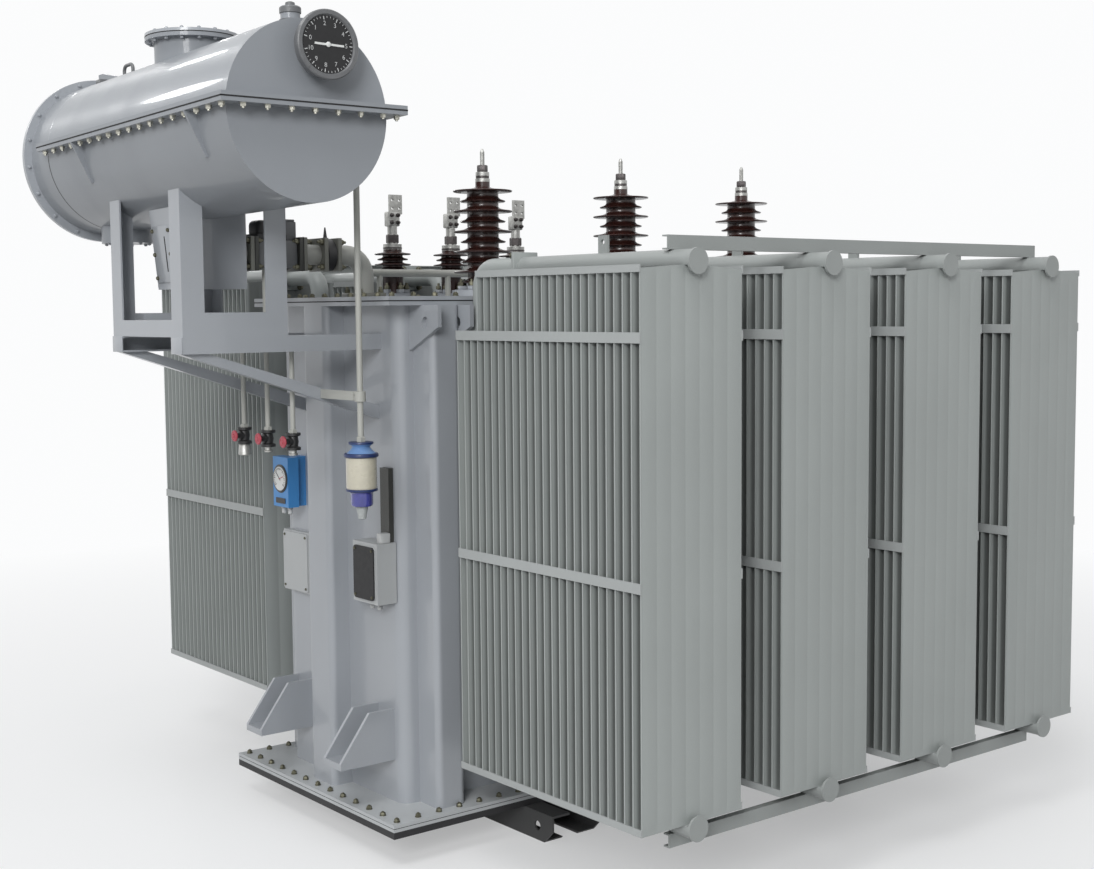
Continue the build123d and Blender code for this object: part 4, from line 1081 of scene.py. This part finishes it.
def on_slope(rise, shift, proud):
    """A point over the sump box's sloped side."""
    return slope_bottom + slope_up * rise + Vector((0, shift, 0)) + slope_out * proud


def slope_block(heap, size, rise, shift):
    points, faces = block(size, 0.0015)
    heap.add((points @ tilted.T, faces), on_slope(rise, shift, 0.4 * size[0]))


plate_rise, plate_bolt_y = 0.150, 0.078
sump_plate, sump_slot, sump_bolts = Heap(), Heap(), Heap()
slope_block(sump_plate, (0.008, 0.180, 0.240), plate_rise, 0)
slope_block(sump_slot, (0.009, 0.010, 0.150), plate_rise, -0.030)
for rise in (plate_rise - 0.100, plate_rise, plate_rise + 0.100):
    for shift in (-plate_bolt_y, plate_bolt_y):
        sump_bolts.add(small_bolt, on_slope(rise, shift, 0.007), slope_out)
sump_plate.piece("sump_plate", tank_grey, "tank_paint")
sump_slot.piece("sump_slot", rubber, "valve_black")
sump_bolts.piece("sump_bolts", zinc_olive, "terminal_metal")

# %% End plates on the bracket's arms
arm_low, arm_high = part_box("support_arms")
arm_width, plate_edge = 0.100, 0.006
arm_z, arm_height = middle("support_arms").z, arm_high.z - arm_low.z
arm_end = block((plate_edge, arm_width, arm_height), 0.001)
arm_plates = Heap()
for y in (arm_low.y + arm_width / 2, arm_high.y - arm_width / 2):
    arm_plates.add(arm_end, (arm_low.x - plate_edge / 2, y, arm_z))
arm_plates.piece("arm_end_plates", tank_grey, "tank_paint")

# %% [markdown]
# ## Terminals
#
# A tall bushing ends in a stack: a grey ring, a dark washer, a second ring, a dark lock nut and a
# threaded stud with a turned-down tip. The thread is a row of small ridges in the turned profile. The
# short bushings have a palm with four holes, already drilled in the solid, so they only get their nut,
# washer and clamp block.


# %% Turn the stud terminals
def threaded(radius, start, length, pitch=0.0045, depth=0.0012, tip=0.014):
    """The outline of a threaded rod with a turned-down tip."""
    profile = [(radius, start)]
    for i in range(int((length - tip) / pitch)):
        z = start + i * pitch
        profile += [(radius, z + 0.1 * pitch), (radius - depth, z + 0.55 * pitch), (radius, z + pitch)]
    return profile + [(0.55 * radius, start + length - 0.004), (0.40 * radius, start + length)]


cap_low, cap_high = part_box("hv_terminals")
cap_z = cap_low.z
stud_radius, stud_foot = 0.011, 0.070
ring_profile = [
    (0.034, 0), (0.034, 0.015), (0.030, 0.017), (0.030, 0.027),
    (0.032, 0.028), (0.032, 0.044), (0.029, 0.046),
]
stud_profile = threaded(stud_radius, stud_foot, cap_high.z - cap_z - stud_foot)
nut_profile = [(0.023, 0.046), (0.025, 0.049), (0.025, 0.074), (0.022, 0.078)]
ring_stack, dark_stack = Heap(), Heap()
for x, y in hv_places:
    ring_stack.add(lathe(ring_profile, 40), (x, y, cap_z))
    ring_stack.add(lathe(stud_profile, 20), (x, y, cap_z))
    dark_stack.add(lathe([(0.0312, 0.0175), (0.0312, 0.0265)], 40), (x, y, cap_z))
    dark_stack.add(lathe(nut_profile, 6), (x, y, cap_z), spin=0.4)
ring_stack.piece("hv_studs", tinned, "terminal_metal", ["hv_terminals"])
dark_stack.piece("hv_lock_nuts", dark_steel, "terminal_metal")

# %% Nuts and clamp blocks on the short bushings
washer_profile = [(0.043, 0.0005), (0.047, 0.003), (0.047, 0.010), (0.043, 0.012)]
lv_nut_profile = [(0.028, 0.030), (0.032, 0.034), (0.032, 0.070), (0.028, 0.074)]
block_size, block_rise = (0.062, 0.050, 0.072), 0.150
block_bolt, block_cross = bolt(0.016, 0.011, 0.008), 0.018
lv_nuts, lv_blocks = Heap(), Heap()
for x, y in lv_places:
    lv_nuts.add(lathe(washer_profile, 40), (x, y, lv_high.z))
    lv_nuts.add(lathe(lv_nut_profile, 6), (x, y, lv_high.z), spin=0.3)
    lv_blocks.add(block(block_size, 0.006), (x, y, lv_high.z + block_rise))
    for dx, dz in four_corners(block_cross, block_cross):
        spot = (x + dx, y - block_size[1] / 2, lv_high.z + block_rise + dz)
        lv_nuts.add(block_bolt, spot, (0, -1, 0))
lv_nuts.piece("lv_nuts", dark_steel, "terminal_metal")
lv_blocks.piece("lv_clamp_blocks", tinned, "terminal_metal")

# %% [markdown]
# ## The level gauge
#
# The oil gauge on the drum is a round case with a grey bezel and a black plate, white numbers and a
# white needle. The case is turned, the ticks and the needle are thin plates, and the numbers are text
# that Blender turns into a mesh, so they stay sharp at any distance.


# %% Dial helpers
def dial_point(centre, radius, angle):
    """A point on a dial that faces -Y, with the angle counted clockwise from the top."""
    x, z = centre.x + radius * math.sin(angle), centre.z + radius * math.cos(angle)
    return Vector((x, centre.y, z))


def dial_bar(heap, centre, angle, inner, outer, width, thick=0.0012):
    """A thin plate that lies along a dial's radius."""
    middle = dial_point(centre, (inner + outer) / 2, angle)
    points, faces = block((width, thick, outer - inner))
    turn = np.array(Matrix.Rotation(angle, 3, "Y"))
    heap.add((points @ turn.T, faces), middle)


def number_shape(words, size):
    """Flat text as points and faces, stood up to face -Y."""
    curve = bpy.data.curves.new("number", "FONT")
    curve.body, curve.size = words, size
    curve.align_x, curve.align_y = "CENTER", "CENTER"
    holder = bpy.data.objects.new("number", curve)
    bpy.context.scene.collection.objects.link(holder)
    evaluated = holder.evaluated_get(bpy.context.evaluated_depsgraph_get())
    mesh = bpy.data.meshes.new_from_object(evaluated)
    stood_up = np.array(Matrix.Rotation(math.pi / 2, 3, "X"))
    points = np.array([v.co for v in mesh.vertices]) @ stood_up.T
    faces = [tuple(p.vertices) for p in mesh.polygons]
    bpy.data.objects.remove(holder)
    bpy.data.curves.remove(curve)
    bpy.data.meshes.remove(mesh)
    return points, faces


# %% The gauge's case
gauge_back = Vector((drum_mid.x + 0.037, -1.020, 3.384))
gauge_radius, gauge_depth, bezel_width, bezel_step = 0.131, 0.100, 0.018, 0.024
case_profile = [
    (0.072, 0.0), (0.072, 0.038), (0.100, 0.045), (0.121, 0.050), (0.123, 0.058), (0.123, 0.078),
    (gauge_radius, 0.082), (gauge_radius, gauge_depth - 0.004), (gauge_radius - 0.004, gauge_depth),
    (gauge_radius - bezel_width, gauge_depth), (gauge_radius - bezel_step, gauge_depth - 0.008),
    (0.0, gauge_depth - 0.008),
]
gauge_case = Heap()
gauge_case.add(lathe(case_profile, 72), gauge_back, (0, -1, 0))
for angle in ring_angles(4, math.pi / 4):
    spot = dial_point(gauge_back, gauge_radius - 0.008, angle) - Vector((0, gauge_depth - 0.001, 0))
    gauge_case.add(lathe([(0.005, 0), (0.005, 0.002), (0.003, 0.003)], 12), spot, (0, -1, 0))
gauge_case.piece("gauge_case", bezel_grey, "gauge_case", ["level_gauge"], on_drum=True)

# %% Its dial
plate_radius = gauge_radius - bezel_step + 0.0005
face_mid = gauge_back - Vector((0, gauge_depth - 0.0075, 0))
gauge_face = Heap()
gauge_face.add(lathe([(plate_radius, 0), (plate_radius, 0.0012)], 72), face_mid, (0, -1, 0))
gauge_face.piece("gauge_face", print_black, "gauge_case", on_drum=True)

marks, needle = Heap(), Heap()
mark_mid = face_mid - Vector((0, 0.0022, 0))
dial_start, dial_step, last_number = math.radians(-76), math.radians(33.2), 10
tick_out, tick_in, small_tick_in, number_reach, number_size = 0.105, 0.092, 0.098, 0.078, 0.024
for i in range(last_number + 1):
    angle = dial_start + dial_step * i
    dial_bar(marks, mark_mid, angle, tick_in, tick_out, 0.0036)
    marks.add(number_shape(str(i), number_size), dial_point(mark_mid, number_reach, angle))
    if i < last_number:
        for part in (0.25, 0.5, 0.75):
            dial_bar(marks, mark_mid, angle + dial_step * part, small_tick_in, tick_out, 0.0018)
marks.piece("gauge_marks", print_grey, "gauge_case", crease=20, on_drum=True)
dial_bar(needle, mark_mid, math.radians(91), -0.058, 0.068, 0.0080)
needle.add(lathe([(0.010, 0), (0.010, 0.003), (0.006, 0.005)], 20), mark_mid, (0, -1, 0))
needle.piece("gauge_needle", print_white, "gauge_case", on_drum=True)

# %% [markdown]
# ## Breather
#
# Air reaches the drum through a canister of drying grains. From the top it is a blue cap of two discs
# with dark rims, a cloudy cream body, a violet oil cup and a pale tip. The solid has the outline, and
# here each colour becomes a turned piece of its own with rounded lips. Its thin pipe climbs beside
# the drum, held half way by a clamp on an arm from the bracket.

# %% Turn the breather
breather_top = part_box("breather")[1].z
breather_x, breather_y, _ = middle("breather")


def breather_part(name, finish, profile, replaced=()):
    """A turned piece of the breather, from (radius, drop below its top) pairs."""
    part = Heap()
    turned_part = lathe([(r, breather_top - drop) for r, drop in reversed(profile)], 56)
    part.add(turned_part, (breather_x, breather_y, 0))
    return part.piece(name, finish, "breather_white", replaced, crease=50)


body = [
    (0.060, 0.062), (0.064, 0.064), (0.065, 0.070),
    (0.065, 0.190), (0.064, 0.198), (0.058, 0.202),
]
cap = [
    (0.050, 0.006), (0.050, 0.010), (0.040, 0.016), (0.038, 0.022),
    (0.046, 0.034), (0.060, 0.046), (0.069, 0.058),
]
top_rim = [(0.026, 0.000), (0.051, 0.000), (0.053, 0.003), (0.053, 0.008), (0.049, 0.010)]
lower_rim = [(0.068, 0.047), (0.072, 0.049), (0.073, 0.053), (0.073, 0.061), (0.068, 0.065)]
foot_rim = [(0.060, 0.196), (0.067, 0.198), (0.067, 0.206), (0.056, 0.210)]
cup = [
    (0.052, 0.200), (0.052, 0.212), (0.047, 0.216),
    (0.047, 0.262), (0.044, 0.270), (0.034, 0.274),
]
tip = [(0.026, 0.272), (0.025, 0.282), (0.018, 0.312), (0.017, 0.324), (0.012, 0.327)]
breather_part("breather_body", canister_cream, body, ["breather"])
breather_part("breather_cap", cap_blue, cap)
breather_part("breather_top_rim", deep_blue, top_rim)
breather_part("breather_lower_rim", deep_blue, lower_rim)
breather_part("breather_foot_rim", deep_blue, foot_rim)
breather_part("breather_cup", cup_violet, cup)
breather_part("breather_tip", tip_pale, tip)

# %% Its pipe, clamp and arm
air_low, air_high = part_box("breather_pipe")
air_radius, air_bend, clamp_z = 0.013, 0.055, 2.050
air_top = air_high.z - air_radius
arm_length = air_high.y - breather_y
clamp_ring = [(0.022, -0.022), (0.024, -0.020), (0.024, 0.020), (0.022, 0.022)]
pipe_nut = [(0.020, 0), (0.020, 0.018), (0.016, 0.022)]
air_pipe = Heap()
climb = [(breather_x, air_low.z), (breather_x, air_top), (air_low.x, air_top)]
air_pipe.add(bent_tube([(x, breather_y, z) for x, z in climb], air_radius, air_bend, 24))
air_pipe.add(lathe(pipe_nut, 6), (breather_x, breather_y, air_low.z))
air_pipe.add(lathe(clamp_ring, 28), (breather_x, breather_y, clamp_z))
clamp_arm = block((0.008, arm_length, 0.040), 0.0015)
air_pipe.add(clamp_arm, (breather_x, breather_y + arm_length / 2, clamp_z))
for dz in (-0.012, 0.012):
    air_pipe.add(small_bolt, (breather_x - 0.004, breather_y + 0.036, clamp_z + dz), (-1, 0, 0))
air_pipe.piece("breather_bent_pipe", cream_paint, "tank_paint", ["breather_pipe"])

# %% [markdown]
# ## Instruments and boxes on the end wall
#
# The thermometer has a round white dial in a dark rim, sunk in its blue box. The terminal box has a
# black cover with rounded corners and a pale gland block, the plain box a lid with screws.


# %% A plate with rounded corners
def rounded_plate(thick, width, height, corner, steps=6):
    """A flat plate that faces -X, with its four corners rounded."""
    outline = []
    for quarter, (sy, sz) in enumerate(((1, 1), (-1, 1), (-1, -1), (1, -1))):
        centre_y, centre_z = sy * (width / 2 - corner), sz * (height / 2 - corner)
        for i in range(steps + 1):
            a = (quarter + i / steps) * math.pi / 2
            outline.append((centre_y + corner * math.cos(a), centre_z + corner * math.sin(a)))
    n = len(outline)
    points = [(x, y, z) for x in (0, -thick) for y, z in outline]
    faces = [(i, (i + 1) % n, n + (i + 1) % n, n + i)[::-1] for i in range(n)]
    faces += [tuple(range(n)), tuple(range(n, 2 * n))[::-1]]
    return np.array(points), faces


# %% The thermometer's dial
thermo_low, thermo_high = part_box("thermometer")
thermo_y = middle("thermometer").y
dial_mid = Vector((thermo_low.x + 0.0072, thermo_y, thermo_low.z + 0.136))
rim_outer, rim_top, rim_margin, face_radius = 0.063, 0.0125, 0.004, 0.0530
dial_size = ((thermo_high.y - thermo_low.y) / 2 - rim_margin) / rim_outer
rim_profile = [
    (0.054, rim_top), (0.060, rim_top), (rim_outer, 0.010), (rim_outer, 0.007), (0.060, 0.006),
]
face_profile = [(face_radius, rim_top), (face_radius, rim_top + 0.001)]
window = rounded_plate(0.003, 0.090, 0.026, 0.004)


def dial_turned(profile):
    return lathe([(r * dial_size, z) for r, z in profile], 56)


dial_rim, dial_plate = Heap(), Heap()
dial_rim.add(dial_turned(rim_profile), dial_mid, (-1, 0, 0))
dial_rim.add(window, (thermo_low.x, thermo_y, thermo_low.z + 0.030))
dial_plate.add(dial_turned(face_profile), dial_mid, (-1, 0, 0))
dial_rim.piece("thermometer_rim", valve_black, "instrument_blue")
dial_plate.piece("thermometer_face", print_white, "instrument_blue")


# %% Its marks and hands
def thermo_bar(heap, angle, inner, outer, width):
    """A mark on the dial that faces -X, with the angle counted clockwise from the top."""
    points, faces = block((0.001, width, (outer - inner) * dial_size))
    turn = np.array(Matrix.Rotation(angle, 3, "X"))
    reach = (inner + outer) / 2 * dial_size
    spot = dial_mid + Vector((-0.0140, -reach * math.sin(angle), reach * math.cos(angle)))
    heap.add((points @ turn.T, faces), spot)


dial_marks, set_hand = Heap(), Heap()
mark_count, half_sweep, mark_out = 25, 130, 0.049
for i in range(mark_count):
    inner, width = (0.037, 0.0030) if i % 4 == 0 else (0.041, 0.0016)
    angle = math.radians(-half_sweep + i * 2 * half_sweep / (mark_count - 1))
    thermo_bar(dial_marks, angle, inner, mark_out, width)
thermo_bar(dial_marks, math.radians(-48), -0.010, 0.038, 0.0034)
thermo_bar(set_hand, math.radians(72), -0.006, 0.036, 0.0034)
dial_marks.piece("thermometer_marks", print_black, "instrument_blue")
set_hand.piece("thermometer_set_hand", wheel_red, "instrument_blue")

# %% Box covers
box_low, box_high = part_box("terminal_box")
_, box_y, box_z = middle("terminal_box")
cover = Heap()
cover.add(rounded_plate(0.006, 0.168, 0.238, 0.018), (box_low.x + 0.002, box_y, box_z))
cover.piece("terminal_cover", print_black, "dark_casting")

side_low, side_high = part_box("side_box")
_, side_y, side_z = middle("side_box")
side_width, side_height = side_high.y - side_low.y, side_high.z - side_low.z
lid_thick = 0.008
lid_plate = rounded_plate(lid_thick, side_width - 0.012, side_height - 0.014, 0.010)
side_lid = Heap()
side_lid.add(lid_plate, (side_low.x, side_y, side_z))
side_lid.piece("side_box_lid", box_pale, "tank_paint")

# %% Glands and screws
screws, glands = Heap(), Heap()
screw = bolt(0.010, 0.004, 0.001)
for dy, dz in four_corners(0.070, 0.104):
    screws.add(screw, (box_low.x - 0.004, box_y + dy, box_z + dz), (-1, 0, 0))
for dy, dz in four_corners(side_width / 2 - 0.022, side_height / 2 - 0.024):
    screws.add(screw, (side_low.x - lid_thick, side_y + dy, side_z + dz), (-1, 0, 0))
gland = [
    (0.013, 0), (0.013, 0.012), (0.010, 0.013), (0.010, 0.020),
    (0.012, 0.021), (0.011, 0.034), (0.006, 0.038),
]
for shift in (-0.030, 0.030):
    glands.add(lathe(gland, 20), (box_high.x - 0.045, box_y + shift, box_low.z), (0, 0, -1))
    thermo_gland = (thermo_high.x - 0.085, thermo_y + shift, thermo_low.z)
    glands.add(lathe(gland, 20), thermo_gland, (0, 0, -1))
gland_block = block((0.050, 0.040, 0.046), 0.006)
glands.add(gland_block, (box_high.x - 0.050, box_low.y + 0.024, box_high.z + 0.022))
screws.piece("box_screws", zinc_olive, "terminal_metal")
glands.piece("cable_glands", print_grey, "tank_paint")

# %% [markdown]
# ## Sampling valves
#
# Three thin pipes come down in front of the end wall, two bent from the tank and one from the relay.
# Each ends in a small black valve with a waist between two flanges and a red hand wheel, and one of
# them has a cup below it.

# %% Bent sampling pipes
tap_low, tap_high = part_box("sample_valves")
sample_low, sample_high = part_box("sample_pipes")
sample_radius, sample_bend = 0.011, 0.050
sample_x = sample_low.x + sample_radius
run_z, wall_x = 2.2705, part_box("front_wall")[0].x
tap_places = (sample_low.y + sample_radius, line_y, sample_high.y - sample_radius)

tube_nut = [(0.019, 0), (0.019, 0.012), (0.015, 0.016)]
sample_tubes = Heap()
for y in tap_places:
    tube = [(sample_x, y, tap_high.z)]
    if y == line_y:
        tube += [(sample_x, y, sample_high.z)]
    else:
        tube += [(sample_x, y, run_z), (wall_x, y, run_z)]
    sample_tubes.add(bent_tube(tube, sample_radius, sample_bend, 18))
    sample_tubes.add(lathe(tube_nut, 6), (sample_x, y, tap_high.z))
sample_tubes.piece("sample_bent_pipes", cream_paint, "tank_paint", ["sample_pipes"])

# %% The rim of a hand wheel
wheel_radius, hoop_radius, hoop_steps, ring_steps = 0.021, 0.0055, 28, 10
hoop, hoop_faces = [], []
for a in ring_angles(hoop_steps):
    for b in ring_angles(ring_steps):
        reach = wheel_radius + hoop_radius * math.cos(b)
        hoop.append((reach * math.cos(a), reach * math.sin(a), hoop_radius * math.sin(b)))
for i in range(hoop_steps):
    for j in range(ring_steps):
        after, beside = (i + 1) % hoop_steps, (j + 1) % ring_steps
        corners = ((i, j), (after, j), (after, beside), (i, beside))
        hoop_faces.append(tuple(p * ring_steps + q for p, q in corners))
print("wheel rim points:", len(hoop))

# %% Valve bodies, wheels and cups
stem_z, stem_reach = middle("sample_valves").z, sample_x - tap_low.x - 0.012
waist = [
    (0.033, -0.0375), (0.033, -0.026), (0.021, -0.021), (0.024, 0.0),
    (0.021, 0.021), (0.033, 0.026), (0.033, 0.0375),
]
stem = [(0.022, 0.0), (0.022, 0.026), (0.012, 0.030), (0.010, stem_reach)]
hub_profile = [(0.020, -0.003), (0.020, 0.003), (0.010, 0.006), (0.008, 0.010)]
cup_profile = [(0.022, 0), (0.026, 0.004), (0.030, 0.050), (0.024, 0.054)]
outlet_profile = [(0.016, 0), (0.016, 0.014), (0.020, 0.016), (0.018, 0.024)]
taps, wheels, cups = Heap(), Heap(), Heap()
for y in tap_places:
    taps.add(lathe(waist, 28), (sample_x, y, stem_z))
    taps.add(lathe(stem, 20), (sample_x, y, stem_z), (-1, 0, 0))
    hub = (sample_x - stem_reach, y, stem_z)
    wheels.add((np.array(hoop), hoop_faces), hub, (-1, 0, 0))
    wheels.add(lathe(hub_profile, 24), hub, (-1, 0, 0))
cups.add(lathe(cup_profile, 28), (sample_x, tap_places[2], tap_low.z), (0, 0, -1))
for y in tap_places[:2]:
    cups.add(lathe(outlet_profile, 20), (sample_x, y, tap_low.z), (0, 0, -1))
taps.piece("valve_bodies", valve_black, "valve_black", ["sample_valves"])
wheels.piece("valve_wheels", wheel_red, "valve_black")
cups.piece("valve_cups", tinned, "terminal_metal")
